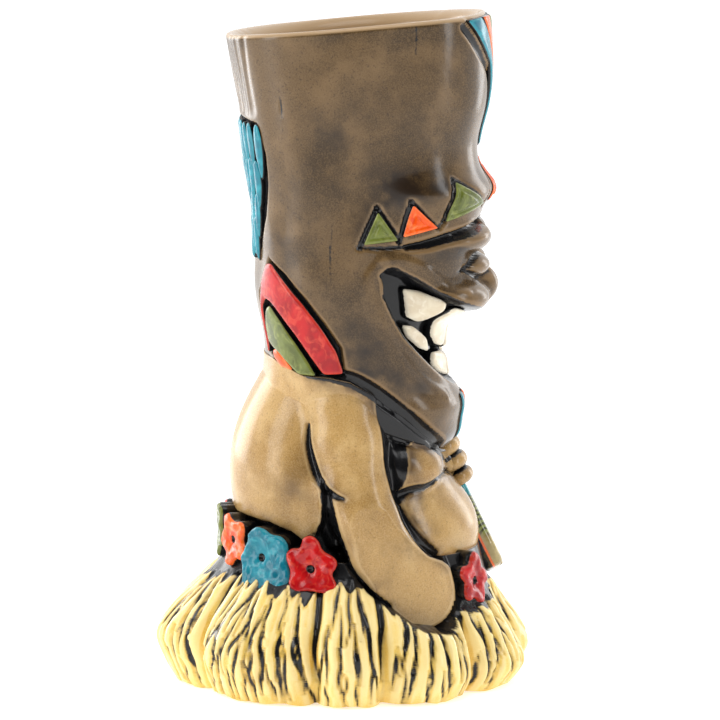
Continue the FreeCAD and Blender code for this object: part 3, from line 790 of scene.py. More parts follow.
def sprig(name, outline, lay, material, stands_for, slot, lift=1.0, sink=1.2, edge=1.2, pitch=0.4, shape=None,
          black=0.12, mark=None, start=0.35):
    """A closed pillow. lay(x, y, h) gives places in metres; shape(x, y, depth, h) may remodel the heights."""
    bm = filled_sheet(outline, pitch)
    x, y, depth = sheet_depth(bm, outline)
    height = lift * (start + (1 - start) * pillow(depth, edge))
    if shape:
        height = shape(x, y, depth, height)
    pool = depth - black
    if mark:
        pool = np.minimum(pool, mark(x, y))
    edge_layer, pool_layer = bm.verts.layers.float.new("edge"), bm.verts.layers.float.new("pool")
    for v, d, p in zip(bm.verts, depth, pool):
        v[edge_layer], v[pool_layer] = 1 - min(d / (edge * 1.1), 1), p
    raised = thickened(bm, lay(x, y, height), lay(x, y, height * 0 - sink))
    for v in bm.verts:
        if v not in raised:
            v[pool_layer] = -1
    bmesh.ops.recalc_face_normals(bm, faces=bm.faces)
    return new_piece(name, bm, material, stands_for)


def on_wall(wall, middle, base=None):
    """Flat places, in mm about a middle turn, laid on a wall; and the same for outlines in turn and height."""
    base = wall.plain if base is None else base
    scale = ONE_DEGREE * float(wall.look_up(base, np.array([middle]), wall.z.mean()))
    rim_turns, rim_heights, above_rim = np.append(wall.turns, 360), np.append(wall.high, wall.high[0]), 0.6

    def lay(x, y, h):
        turn = middle + x / scale
        y = np.minimum(y, np.interp(turn % 360, rim_turns, rim_heights) + above_rim)
        return point(turn, y, wall.look_up(base, turn, y) + h)

    def flat(corners):
        c = np.array(corners, float)
        return np.column_stack([wrapped(c[:, 0] - middle) * scale, c[:, 1]])
    return lay, flat


def wall_sprigs(name, corners, colour, radius=0.8, pair=True, base=None, **options):
    """A sprig drawn in turn and height on the head's right, and its mirror image on the left."""
    for side, sign in (("_right", 1), ("_left", -1)) if pair else (("", 1),):
        c = turned_over(corners, sign)[::sign]
        turns = [t for t, _ in c]
        lay, flat = on_wall(head, float((min(turns) + max(turns)) / 2), base)
        sprig(name + side + "_sprig", rounded(flat(c), radius), lay, GLAZES[colour], (name + side,), colour + "_glaze",
              **options)


# %% [markdown]
# ## Crest, brow and ears
# The plumes fan out from between the brows to the rim. Each triangle has a smaller triangle modelled inside it. The ear
# leaves nest into each other with black between them.

# %% Crest plumes
TEAL_PLUME = ((40.5, 196.6), (30.2, 190.2), (18.6, 184), (13.6, 172.6), (11.3, 161.5), (9.6, 158.8), (8.4, 161),
              (9.6, 172.5), (13, 184.6), (20.5, 191.6), (31, 197.6))
ORANGE_PLUME = ((29.8, 197.8), (19.4, 191.6), (12, 184.8), (8.7, 172.5), (7.4, 161), (6.3, 158.6), (5.4, 161),
                (5.8, 172.4), (7.6, 185), (12, 192.4), (19.6, 198))
OLIVE_PLUME = ((18.6, 197.9), (11.2, 192.4), (6.8, 185), (5, 172.4), (4.6, 161), (3.7, 158.5), (2.9, 161),
               (2.9, 172.4), (3.6, 185), (5.6, 192.6), (9.6, 197.4))
MIDDLE_PLUME = ((8.8, 197.2), (4.9, 192.4), (3, 185), (2.3, 172.4), (1.8, 161), (0, 158.2), (-1.8, 161),
                (-2.3, 172.4), (-3, 185), (-4.9, 192.4), (-8.8, 197.2))
PLUME_FORM = {"lift": 0.9, "sink": 1.6, "edge": 1.5}
for colour, corners in (("teal", TEAL_PLUME), ("orange", ORANGE_PLUME), ("olive", OLIVE_PLUME)):
    wall_sprigs("crest_plume_" + colour, corners, colour, **PLUME_FORM)
wall_sprigs("crest_plume_middle", MIDDLE_PLUME, "red", pair=False, **PLUME_FORM)

# %% Brow triangles, each with a smaller one inside
def nested_triangle(x, y, depth, height):
    """A sprig's heights with a raised smaller triangle and a fine groove round it."""
    inner = ramp(depth, 1.7, 2.2) * 0.35
    return height + inner - 0.3 * np.exp(-((depth - 1.5) / 0.35) ** 2)


for name, corners in (
        ("brow_triangle_olive_outer", ((75.8, 142.2), (82.4, 132.6), (66.9, 133.8))),
        ("brow_triangle_orange", ((61.6, 144.2), (65.2, 134.7), (50.6, 137.2))),
        ("brow_triangle_olive_inner", ((43.5, 150.4), (47.6, 138.8), (22.8, 143)))):
    wall_sprigs(name, corners, "orange" if "orange" in name else "olive", radius=0.7, lift=0.55, sink=1.5, edge=0.9,
                pitch=0.28, shape=nested_triangle, black=0.05)
wall_sprigs("brow_triangle_orange_middle", ((0, 156.2), (15.2, 143.4), (0, 141.6), (-15.2, 143.4)), "orange",
            pair=False, lift=0.7, sink=1.5, edge=1.0, pitch=0.3, shape=nested_triangle, black=0.05)

# %% Teeth
UPPER_TEETH = {
    "side": ((62.5, 119.8), (54, 119), (44.6, 115.6), (43.4, 111.6), (46.6, 109.5), (52, 109), (59.6, 111)),
    "middle": ((41, 113.8), (20.4, 110.2), (17.6, 103.3), (21.5, 100), (33, 101.4), (39.6, 104.4), (42, 109)),
    "front": ((16.5, 109.4), (1.0, 108.8), (1.0, 98.6), (15, 99.4)),
}
LOWER_TEETH = {
    "side": ((61.4, 108.9), (54, 108.4), (42.6, 104), (40.6, 99.6), (50, 101.3), (58.4, 105)),
    "middle": ((37.6, 99.6), (24, 99.4), (15.6, 97.4), (16.4, 91), (30, 92.9), (38, 95.6)),
    "front": ((13.2, 97), (0.9, 96.6), (0.9, 90), (13, 90.6)),
}
gum = blurred(head.plain, 4) - 5.2 - 1.6 * ramp(head.z, 98, 108)
for row, teeth in (("upper_tooth_", UPPER_TEETH), ("lower_tooth_", LOWER_TEETH)):
    for where, corners in teeth.items():
        wall_sprigs(row + where, corners, "tooth", radius=1.3, base=gum, lift=4.8, sink=1.2, edge=1.6, black=0.25,
                    start=0.62)

# %% Ear leaves
EAR_RED = ((91.6, 94.8), (95.4, 101.3), (103.6, 108.4), (113, 115.2), (125, 121.8), (134, 126.2), (140, 125.8),
           (147, 121), (152.6, 112), (154.6, 104), (153, 98.6), (150.6, 99.5), (151, 106), (148.6, 112.6),
           (143, 115.4), (136, 114.4), (129, 111.3), (120, 106.2), (113, 101.4), (106, 96.7), (102.5, 94.4))
EAR_OLIVE = ((138.4, 113.6), (144, 112.4), (149, 107.6), (150, 102.4), (144.6, 101), (136, 99.4), (128, 97),
             (118.5, 93.9), (106.6, 93.9), (111.6, 98), (119.4, 103.2), (130, 109.6))
EAR_ORANGE = ((143.6, 100.2), (136.5, 100.6), (130, 98.6), (122, 94.8), (133.6, 95.4), (142.6, 97.8))
for colour, corners in (("red", EAR_RED), ("olive", EAR_OLIVE), ("orange", EAR_ORANGE)):
    wall_sprigs("ear_leaf_" + colour, corners, colour, radius=1.2, lift=0.9, sink=2.2, edge=1.5, black=0.1)
print("face and ear sprigs laid on")

# %% [markdown]
# ## Back feathers and beard
# Two tiers of feathers hang on the back of the head. Each tier has an upper row and a lower row in the gaps of it, and
# every feather is a long drop with a pointed end.

# %% Feathers
def feather(turn, top, length, width):
    """Outline of a hanging leaf, round above and pointed below."""
    a = [(-0.5, 0.22), (-0.3, 0.04), (0, 0), (0.3, 0.04), (0.5, 0.22), (0.52, 0.5), (0.3, 0.82), (0, 1), (-0.3, 0.82),
         (-0.52, 0.5)]
    return [(turn + x * width, top - y * length) for x, y in a]


def ribbed(x, y, depth, height):
    """A sprig's heights with a raised middle rib."""
    return height + 0.35 * ramp(depth, 0.2, 1.7)


rng = np.random.default_rng(11)
EDGE_Z, EDGE_TURN = (125, 130.5, 140, 150, 158, 167), (150, 146.5, 138.4, 134.4, 133.4, 138)
FEATHER_ROWS = ((167.2, 16, 0), (156.6, 16.5, 0.5), (146.8, 14.5, 0), (139, 13.5, 0.5))    # top, length, offset
SPACING, FEATHER_WIDTH = 8.1, 7.6                                                           # degrees
for row, (top, length, offset) in enumerate(FEATHER_ROWS):
    feathers = []
    for i in range(-7, 8):
        turn = 180 + (i + offset) * SPACING + rng.uniform(-0.7, 0.7)
        start, long = top + rng.uniform(-0.6, 0.6), length * rng.uniform(0.9, 1.06)
        limit = np.interp(start - long * 0.5, EDGE_Z, EDGE_TURN)
        if abs(wrapped(turn - 180)) > 180 - limit - 2.6:
            continue
        lay, flat = on_wall(head, turn)
        outline = rounded(flat(feather(turn, start, long, FEATHER_WIDTH)), 0.9, 3)
        feathers.append(sprig(f"feather_{row}_{i}", outline, lay, GLAZES["teal"], (), None,
                              lift=0.75 + 0.25 * (row % 2), sink=1.4, edge=1.5, pitch=0.45, shape=ribbed))
    joined = bmesh.new()
    for piece in feathers:
        mesh = piece.data
        joined.from_mesh(mesh)
        bpy.data.objects.remove(piece)
        bpy.data.meshes.remove(mesh)
    new_piece(f"feathers_row_{row + 1}", joined, GLAZES["teal"], (f"back_feathers_row_{row + 1}",))

# %% Beard strips
wall_sprigs("beard_strip_middle", ((3.4, 86), (3, 75), (0, 71.4), (-3, 75), (-3.4, 86)), "orange", pair=False,
            lift=0.8, sink=1.5)
wall_sprigs("beard_strip", ((13.4, 85.4), (12.4, 76), (9, 71.2), (6, 75), (6.2, 85.8)), "teal", lift=0.8, sink=1.5)
print("feathers and beard laid on")

# %% [markdown]
# ## The body
# The trunk is an oval tube with a broad back, two breasts and a belly melted on. The right arm hangs down and forward
# with its hand laid on the skirt; the left one bends across to hold the paddle. Black lines part all of them, and a
# black waistband runs under the belly and the back.

# %% Body masses
TRUNK = ((14, 31, 36, 31), (35, 31.5, 37, 31), (48, 31, 35.5, 30), (60, 30, 32, 29), (72, 29, 28, 27.5),
         (84, 26, 25, 26), (96, 22, 24, 24))
RIGHT_ARM = ((20, -0.6, 82, 12.8), (22.5, 0.2, 73, 13.2), (27.4, 2, 61, 11.2), (31.4, 5.6, 52, 9.8),
             (33.4, 9.5, 43, 9.4), (35, 15, 36, 9.2), (36.4, 20, 32, 9.2))
LEFT_ARM = ((-19.5, -0.5, 82, 12.5), (-23, 0.3, 73, 13), (-28.5, 4, 61, 11), (-30, 13, 54, 9.4), (-25, 22, 53, 8.6),
            (-17, 27, 57, 8), (-12, 28.5, 61, 7.5))
BODY_COLUMNS, BODY_ROWS = 384, 212

turns = np.arange(BODY_COLUMNS) * 360 / BODY_COLUMNS
hand_dip = ramp(turns, 34, 42) * (1 - ramp(turns, 76, 84))
NECK_LINE = ((0, 67.6), (10, 68), (28.7, 70.2), (45.5, 75.6), (59.7, 81.6), (68.9, 85.4), (77.5, 88.8), (88.3, 92.1),
             (99.1, 93.4), (107.3, 93.6), (116.5, 93.8), (128, 95.6), (145, 97.4), (180, 98))
neck_turn, neck_z = np.array(NECK_LINE).T
body = Wall(turns, np.linspace(0, 1, BODY_ROWS), 27 - 13.0 * hand_dip,
            np.interp(np.abs(wrapped(turns)), neck_turn, neck_z))
z = body.z
body_masses = [
    (tube_of(z, TRUNK, 2.1), 0),
    (ball_of(z, 0, -6, 62, 31, 27.8, 36), 5),                       # back
    (ball_of(z, 0, 10, 43, 31, 30.5, 24), 3),                       # belly
    (ball_of(z, 15, 14, 65, 14.5, 15, 10.5), 1.5),                  # right breast
    (ball_of(z, -15, 14, 65, 14.5, 15, 10.5), 1.5),                 # left breast
]
for arm in (RIGHT_ARM, LEFT_ARM):
    body_masses += [(limb_of(z, start, end), 2.2) for start, end in zip(arm, arm[1:])]
body_masses.append((ball_of(z, 36.6, 24.6, 30.6, 11, 11.6, 10.2), 2.0))     # right hand
body.settle(cast_wall(body.turn, z, body_masses))
neck = head.look_up(head.plain, body.turn, z) + 0.35                # just clear of the head
below = np.clip(body.high[None, :] - z, 0, 14)
shoulder = neck + np.sqrt(np.maximum(2 * 8 * below - below ** 2 * 0.55, 0))
beside_head = z > head.look_up(head.z, body.turn, z * 0) - 1
body.r = np.maximum(np.minimum(body.r, shoulder), np.where(beside_head, neck, 0))
body.r += 0.2 * lumps(body.turn, z, 5, 30)
body.plain = blurred(body.r, 2)
print("body reaches", round(float(body.r.min()), 1), "to", round(float(body.r.max()), 1), "mm from the axis")

# %% [markdown]
# ## Carving the body
# Every line between arm, breast, belly and back is a groove that swells and tapers like a brush stroke.

# %% Lines and hollows
ARM_FRONT = ((71.7, 88.5, 1.2), (69, 83.7, 2.2), (67.9, 78.3, 2), (67.4, 72.4, 1.9), (67.3, 66.6, 1.6),
             (65.1, 60.6, 1.6), (62.9, 54.5, 1.7), (58.8, 49, 1.6), (52.6, 44.4, 1.3), (44.9, 40.8, 0.8))
CHEST_LINE = ((61.9, 56.7, 1.6), (55.8, 59.3, 1.2), (45.4, 60.1, 0.9), (35.2, 62, 0.6), (20, 62.5, 0.5), (0, 60.5, 0.5))
BREAST_SIDE = ((42, 73.4, 1.0), (51, 75, 1.0), (56.8, 71, 1.0), (59, 65.8, 0.7))
ARM_BACK = ((111.8, 79.4, 0.3), (110.9, 74.4, 0.8), (108.5, 69.5, 1.1), (105.1, 64.9, 1.1), (101.4, 62.1, 1.0),
            (95.3, 59.8, 0.7), (92.1, 59.2, 0.3))
body.groove(ARM_FRONT, 1.3, 1.3, 0.4, both=False)
body.groove(turned_over([p for p in ARM_FRONT if p[1] > 60], -1), 1.3, 1.3, 0.4, both=False)
body.groove(CHEST_LINE, 1.3, 1.0, 0.3)
# Painted shadow: the field between the arm, the breast and the neck is sunk a little and glazed black as the shadow
# under the jaw.
ARMPIT_SHADOW = ((73, 90), (69.4, 83.7), (68.2, 78.3), (67.8, 66.6), (65.6, 60.6), (62, 58), (59.6, 62.5), (58.6, 66),
          (56.5, 71), (51.5, 74.8), (44, 73.6), (34, 70), (34, 76), (50, 84), (60, 89))
body.field(ARMPIT_SHADOW, 0.9, 1.4, 0.2)
body.groove(ARM_BACK, 1.7, 0.9, 0.2)
body.groove(((0, 80, 1.2), (0, 70, 0.9), (0, 62, 0.5)), 1.2, 1.0, 0.3, both=False)
HOLLOW_OF_BACK = ((102.1, 64.2), (98.3, 59), (95.9, 52.5), (93.1, 45.2), (88, 38), (86, 30), (104.1, 30), (113.1, 43.9),
                  (107.1, 46.4), (103.1, 51), (101.7, 56.9))
body.field(HOLLOW_OF_BACK, 3.4, 1.6, 0.3, both=False, round_off=0.3)
FOREARM_BACK = ((99, 60.5, 0.6), (95.4, 49.1, 1.0), (92.1, 43.2, 1.0), (89.2, 38.2, 1.0), (82.4, 32.4, 1.1),
                (74, 27.4, 1.2))
body.groove(FOREARM_BACK, 1.2, 1.0, 0.3, both=False)
HAND = ((98.4, 62), (95.4, 49.1), (92.1, 43.2), (89.2, 38.2), (80.9, 32.2), (73, 27), (66, 16), (46, 16),
        (41.6, 25), (42.4, 32), (45.5, 38.6), (52.6, 43.4), (58.8, 48), (62, 54), (65, 62))
WAIST_FRONT = ((-180, 49.6), (-152, 49.8), (-134, 49.2), (-121, 47), (-108, 43), (-90, 40.5), (-70, 40), (-50, 39.5),
               (-42, 38.5), (-29, 36.5), (0, 33.3), (29, 36.5), (42, 38.5), (50, 41.6), (57.6, 44.3), (61, 43),
               (92, 42), (104, 41.8), (113, 44), (121, 47), (134.8, 49.2), (152.5, 49.8), (180, 49.6))
waist_turn, waist_z = np.array(WAIST_FRONT).T
waist_gap = z - np.interp(wrapped(body.turn), waist_turn, waist_z)


def unrolled_gap(wall, arc, corners):
    """Distance from an outline in turn and height, on the wall unrolled at a fixed reach."""
    k = ONE_DEGREE * arc
    return outline_gap(wrapped(wall.turn) * k, wall.z, [(t * k, h) for t, h in corners])


hand_gap = unrolled_gap(body, 40, HAND)
band_gap = np.maximum(waist_gap, 1.2 - hand_gap)
BAND_DEPTH = 2.6
body.r -= BAND_DEPTH * ramp(-band_gap, -1.6, 1.0) * ramp(z, 27, 32)
body.pool = np.minimum(body.pool, band_gap - 0.35)
# Black band round the top of the body: the black glaze of the crease under the jaw, widened towards the front as
# painted shadow of the jaw.
NECK_BLACK = ((0, 3.0), (34, 3.0), (46, 2.4), (64, 2.0), (78, 1.5), (100, 0.9), (112, 0.5), (119, -0.6), (180, -0.8))
neckline = z - (body.high[None, :] - np.interp(np.abs(wrapped(body.turn)), *np.array(NECK_BLACK).T))
body.pool = np.minimum(body.pool, -neckline)

# %% Painted shade on the body
# Painted shade: darker along the lines between arm, breast and back, beside the waistband, under the jaw, and in
# patches in the hollows.
for line, spread in ((ARM_FRONT, 2.6), (CHEST_LINE, 2.2), (BREAST_SIDE, 2.2), (ARM_BACK, 2.2), (FOREARM_BACK, 2.0)):
    for sign in sides(True):
        w, gap = body.line_gap(turned_over(line, sign), 9)
        body.painted_shade[w] += 0.75 * np.exp(-np.clip(gap, 0, None) / spread)
body.painted_shade += 0.9 * np.exp(-np.clip(band_gap, 0, None) / 2.6)
back_share = 1 - 0.5 * ramp(np.abs(wrapped(body.turn)), 100, 130)
body.painted_shade += 0.8 * np.exp(-np.clip(-neckline, 0, None) / 3.2) * back_share
body.paint_shade_pairs((
    (140, 66, 12, 12, 0.25), (118, 60, 6, 8, 0.45), (80, 55, 4, 10, 0.3), (52, 52, 6, 7, 0.35), (70, 44, 7, 4, 0.4),
    (30, 52, 10, 9, 0.2), (56, 70, 5, 6, 0.3), (72, 36, 6, 4, 0.3)))

# %% The body piece
BODY_INNER_ROWS = 38
inner_turn, inner_z, inner_r = inside_rows(turns, body.high, body.low, BODY_INNER_ROWS)
inner_r = inner_r + 1.5 * ramp(inner_z - slanted(turns, HEAD, JAW_Z, JAW_SLOPE), -3, 0)     # room for the head
wall_piece("body_wall", body, (inner_turn, inner_z, inner_r), 0, GLAZES["tan"],
           ("body_vessel", "right_arm", "left_arm"))

# %% [markdown]
# ## The grass skirt
# The skirt is a bell of ten rounded lobes, hollow inside. Straw is cut in with hundreds of short tapered strokes that
# fan out from the waist, and black glaze is left in all of them. The straw ends make the hem ragged.

# %% Skirt sections and lobes
SKIRT = ((0, 49, 50, 49, 3.6), (6, 52, 54.5, 52, 4.2), (15, 54, 51.5, 53, 4.2), (22, 50, 47.2, 50, 3.4),
         (29, 43.5, 44.2, 44, 2.2), (36, 37.4, 42.6, 38.6, 1.0), (41, 35.6, 41.4, 36.6, 0.2))
SKIRT_INSIDE = ((0, 38, 38, 38), (3.6, 38.2, 38.2, 38.2), (5, 41, 42, 41), (9, 44, 45, 44), (15, 45, 43.5, 45),
                (22, 38, 39, 38), (28, 30, 35.4, 30), (34, 29.8, 34.8, 30.4), (42, 29.6, 34.5, 30.7))
LOBE_CREASES = np.array((5, 43, 78, 102, 148, 190, 228, 262, 300, 335))
SKIRT_COLUMNS, SKIRT_ROWS = 400, 190

turns = np.arange(SKIRT_COLUMNS) * 360 / SKIRT_COLUMNS
crease = np.searchsorted(LOBE_CREASES, turns, side="right") - 1
start = LOBE_CREASES[crease % 10]
span = (LOBE_CREASES[(crease + 1) % 10] - start) % 360
lobe_share = ((turns - start) % 360) / span
hem = 0.45 + 0.45 * np.sin(np.radians(turns * 23)) * np.sin(np.radians(turns * 7 + 40))
skirt = Wall(turns, np.linspace(0, 1, SKIRT_ROWS), np.clip(hem, 0.05, 1), np.full(SKIRT_COLUMNS, 40.0))
z = skirt.z
lobe_depth = smooth_rows(z, SKIRT)[..., 3]
reach = oval_reach(skirt.turn, z, [row[:4] for row in SKIRT])
reach += 1.5 * lobe_depth * (np.abs(np.sin(math.pi * lobe_share)) ** 0.7 - 0.64)[None, :]
reach += 0.35 * lumps(skirt.turn, z, 9, 22)
skirt.settle(reach)
print("skirt reaches", round(float(skirt.r.max()), 1), "mm from the axis")

# %% Straw
STRAW_TOP = ((0, 27.5), (24, 24.5), (45, 23.5), (60, 24), (72, 27), (84, 33), (90, 34.5), (107, 30.5), (125, 32),
             (142, 33.5), (165, 31), (180, 30), (205, 31), (228, 31), (250, 30), (272, 29), (294, 27), (320, 25),
             (360, 27.5))
straw_turn, straw_z = np.array(STRAW_TOP, float).T
rng = np.random.default_rng(21)
STROKES = ((-1, 12, 0.5), (3, 20, 0.62), (10, 27, 0.62), (18, 35, 0.5))      # lowest, highest, half width
for i, first in enumerate(LOBE_CREASES):
    wide = (LOBE_CREASES[(i + 1) % 10] - first) % 360
    for low, high, size in STROKES:
        count = int(wide * 0.18 * (1.15 if low < 0 else 1))
        sway = rng.uniform(-0.08, 0.08)
        for n in range(count):
            share = (n + rng.uniform(0.15, 0.85)) / count
            pull = (share - 0.5) * wide
            bottom, top = low + rng.uniform(-2.0, 3.5), high + rng.uniform(-3.5, 3)
            lean = sway + rng.uniform(-0.09, 0.09)
            bend = rng.uniform(-0.9, 0.9)
            line = []
            for h, half in ((0, 0.35), (0.3, 0.9), (0.62, 1), (1, 0.15)):
                height = bottom + h * (top - bottom)
                turn = first + wide / 2 + pull * (1.02 - 0.36 * height / 36) + lean * (height - 15) * 1.4
                line.append((turn + bend * math.sin(h * 6.3), height, size * half * rng.uniform(0.75, 1.2)))
            limit = float(np.interp(line[-1][0] % 360, straw_turn, straw_z)) + 1.5
            if line[0][1] < limit - 4:
                line = [(t, min(h, limit), half) for t, h, half in line]
                skirt.groove(line, rng.uniform(0.8, 1.4), 0.8, 0.0, both=False)
    for n in range(int(wide * 0.5)):
        t, h = first + rng.uniform(0, wide), rng.uniform(0, 24)
        hair = [(t, h, 0.12), (t + rng.uniform(-0.8, 0.8), h + rng.uniform(4, 9), 0.05)]
        skirt.groove(hair, 0.35, 0.6, None, both=False)
for first in LOBE_CREASES:
    a, b, c = rng.uniform(-1.5, 1.5, 3)
    skirt.groove([(first + a, 8, 0.2), (first + b, 16, 0.7), (first + c, 25, 1.1), (first, 33, 1.0)], 1.4, 1.2, 0.05,
                 both=False)
    skirt.groove([(first, 0, 0.4), (first + a, 10, 0.5), (first + b, 20, 0.4)], 1.2, 2.6, None, both=False)
top_gap = np.interp(skirt.turn % 360, straw_turn, straw_z) + 1.6 * lumps(skirt.turn, z * 0, 4, 4, 20) - z
skirt.pool = np.minimum(skirt.pool, top_gap)
skirt.r -= 1.1 * ramp(-top_gap, -1.5, 1.5)
HAND_PRINT = ((92, 44), (81, 33), (73, 28.6), (63, 22.4), (51, 20.6), (43.6, 24.6), (42, 32), (46, 44))
hand_gap = unrolled_gap(skirt, 46, HAND_PRINT)
under_hand = body.look_up(body.r, skirt.turn, z) - 0.6 - 1.5 * ramp(-hand_gap, -1, 2)
skirt.pool = np.minimum(skirt.pool, hand_gap - 1.5)
tucked = np.minimum(skirt.r, np.maximum(under_hand, 30))
skirt.r += (tucked - skirt.r) * ramp(-hand_gap, -1.6, 0.4)
skirt.r -= 0.9 * ramp(-hand_gap, -3.0, -0.6)
# Painted shade: darker towards the top of the skirt under the belly, and beside the black cuts.
skirt.painted_shade = 0.55 * np.clip(1 - np.clip(skirt.pool, 0, None) / 0.6, 0, 1) + 0.2 * ramp(z, 20, 33)
print("straw cut")

# %% The skirt piece
SKIRT_INNER_TOP, SKIRT_INNER_ROWS = np.full(SKIRT_COLUMNS, 39.0), 20
skirt_inner = inside_rows(turns, SKIRT_INNER_TOP, 0.0, SKIRT_INNER_ROWS, SKIRT_INSIDE)
wall_piece("skirt_wall", skirt, skirt_inner, 0, GLAZES["straw"], ("grass_skirt",))

# %% [markdown]
# ## The garland
# Eleven flowers are pressed on where the skirt meets the body. Each is cut by hand, so no two have the same petals. The
# middle is poked with a stick and filled with black.

# %% Flowers
WAIST = [row[:4] for row in SKIRT]
FLOWERS = (
    ("red_front", 31, 32, 0.95), ("red_side", 106.5, 38.4, 1.1), ("teal_side", 132, 40.2, 1.22),
    ("orange_back", 154, 43.5, 0.95), ("olive_back", 177, 44.5, 1.05), ("red_back", 201, 43, 1.0),
    ("teal_left", 226, 41.5, 1.12), ("orange_left", 250, 39.5, 1.0), ("olive_left", 272, 38, 1.0),
    ("red_left", 294, 36, 1.05), ("teal_front", 319, 32.6, 0.9),
)
PETALS = {
    "red_side": ((3, 10.0, 15), (-71, 8.2, 14), (-130, 9.4, 13), (139, 8.2, 15), (58, 8.8, 14)),
    "teal_side": ((14, 9.4, 22), (-57, 10.4, 15), (-124, 12.2, 12), (163, 13.2, 13), (96, 8.2, 14)),
}
NOTCH = {"teal_side": 0.80, "red_side": 0.70, "teal_left": 0.78}
rng = np.random.default_rng(5)


def petals(name, scale):
    """Outline of a flower: three corners for each petal's end and one for each notch."""
    lobes = PETALS.get(name)
    if not lobes:
        first = rng.uniform(0, 72)
        lobes = [(first + 72 * i + rng.uniform(-6, 6), 8.3 * scale * rng.uniform(0.92, 1.14), rng.uniform(12, 16))
                 for i in range(5)]
    lobes = sorted((a % 360, reach, half) for a, reach, half in lobes)
    corners = []
    for (a, reach, half), (b, far, _) in zip(lobes, lobes[1:] + lobes[:1]):
        corners += [(a - half, reach * 0.93), (a, reach), (a + half, reach * 0.93)]
        corners.append((a + ((b - a) % 360) / 2, NOTCH.get(name, 0.66) * (reach + far) / 2))
    angle, reach = np.radians(np.array([c[0] for c in corners])), np.array([c[1] for c in corners])
    return rounded(np.column_stack([reach * np.sin(angle), reach * np.cos(angle)]), 1.5)


def on_waist(turn, height, proud):
    """Lay of a flower: half as steep as the skirt behind it."""
    host = float(oval_reach(np.array([turn]), np.array([min(height, 41.0)]), WAIST)[0])

    def lay(x, y, h):
        a = turn + np.degrees(x / host)
        z = np.clip(height + 0.45 * y, 0, 41)
        return point(a, height + y, oval_reach(a, z, WAIST) + proud + h)
    return lay


def dished(x, y, depth, height):
    """A flower's face: hollow towards the poked middle, with creases between the petals."""
    far = np.hypot(x, y)
    face = height - 0.7 * np.exp(-(far / 3.4) ** 2) + 0.22 * np.sin(x * 1.3 + 1) * np.sin(y * 1.1)
    return face - 1.1 * ramp(-far, -1.35, -0.75) - 0.35 * ramp(depth, 2.2, 3.6)


for name, turn, height, scale in FLOWERS:
    sprig(name + "_flower", petals(name, scale), on_waist(turn, height, 0.5), GLAZES[name.split("_")[0]],
          ("flower_" + name,), name.split("_")[0] + "_glaze", lift=1.9, sink=4.2, edge=1.0, pitch=0.42, shape=dished,
          black=0.1, mark=lambda x, y: np.hypot(x, y) - 1.25)
print("flowers:", len(FLOWERS))

# %% [markdown]
# ## The paddle and the fist
# The paddle leans out from the fist. Its blade is painted: a teal band, olive hatching over khaki and an orange stripe
# down the side; the back of the blade is glazed black as painted shade. Four fingers are rolled round the shaft like
# sausages.

# %% Paddle
PADDLE_SIDE, FIST_FORWARD, FIST_Z, LEAN = -12.0, 30.0, 63.0, math.radians(26)
DOWN = np.array((0, math.sin(LEAN), -math.cos(LEAN)))
OUT = np.array((0, math.cos(LEAN), math.sin(LEAN)))


def off_fist(side, down, out):
    """Metres for places beside, down and out from the middle of the fist."""
    s = PADDLE_SIDE + side
    f = FIST_FORWARD + down * DOWN[1] + out * OUT[1]
    h = FIST_Z + down * DOWN[2] + out * OUT[2]
    return np.stack([-s, -f, h], -1) * MM


def rolled(bm, path, radii):
    """Add a closed roll of clay along a path (side, down, out), its ends drawn in to points."""
    path, radii = np.array(path, float), np.array(radii, float)
    n, ring = 28, 20
    at = np.linspace(0, len(path) - 1, n)
    spine = smooth_rows(at, np.column_stack([np.arange(len(path)), path]))
    size = smooth_rows(at, np.column_stack([np.arange(len(path)), radii]))[:, 0]
    end = np.minimum(np.arange(n), np.arange(n)[::-1]) / 4
    size = size * np.sqrt(np.clip(1 - (1 - np.clip(end, 0, 1)) ** 2, 0, 1))
    ahead = np.gradient(spine, axis=0)
    ahead /= np.linalg.norm(ahead, axis=1)[:, None]
    aside = np.cross(ahead, (0, 1, 0.02))
    aside /= np.linalg.norm(aside, axis=1)[:, None]
    up = np.cross(aside, ahead)
    added = bmesh.ops.create_grid(bm, x_segments=ring, y_segments=n - 1, size=1)["verts"]
    for v in added:
        a = (v.co.x + 1) * math.pi
        i = round((v.co.y + 1) / 2 * (n - 1))
        place = spine[i] + size[i] * (math.cos(a) * aside[i] + math.sin(a) * up[i])
        v.co = off_fist(*place)
    bmesh.ops.remove_doubles(bm, verts=added, dist=1e-7)


BLADE = rounded(((-3, 12), (-9.5, 19), (-9.5, 30), (-7, 36), (0, 38.6), (7, 36), (9.5, 30), (9.5, 19), (3, 12),
                 (3, 9), (-3, 9)), 2.0)
g = Glaze("Paddle paint", 0.2, 0.5)
split = g.add("ShaderNodeSeparateXYZ", Vector=g.place)
khaki = g.mix(g.cloud(200, 3), (0.42, 0.33, 0.13), (0.30, 0.23, 0.085))
hatch = g.add("ShaderNodeTexWave", Vector=g.place, Scale=260.0, Distortion=4.0, Detail=2.0)
hatch.bands_direction = "DIAGONAL"
marked = g.mix(g.span(hatch.outputs["Fac"], 0.35, 0.6), (0.05, 0.055, 0.02), (0.22, 0.25, 0.07))
face = g.mix(g.span(split.outputs["Z"], 0.0395, 0.0425), khaki, marked)
face = g.mix(g.span(split.outputs["Z"], 0.0515, 0.0525), face, (0.018, 0.28, 0.33))
through = g.record("through")
face = g.mix(g.span(through, 0.34, 0.40), face, (0.86, 0.13, 0.01))
# Painted shade: the back of the blade, turned away from the light, is painted black.
face = g.mix(g.span(through, 0.58, 0.64), face, BLACK)
PADDLE_PAINT = g.finish(face, g.cloud(420, 2), 0.1)

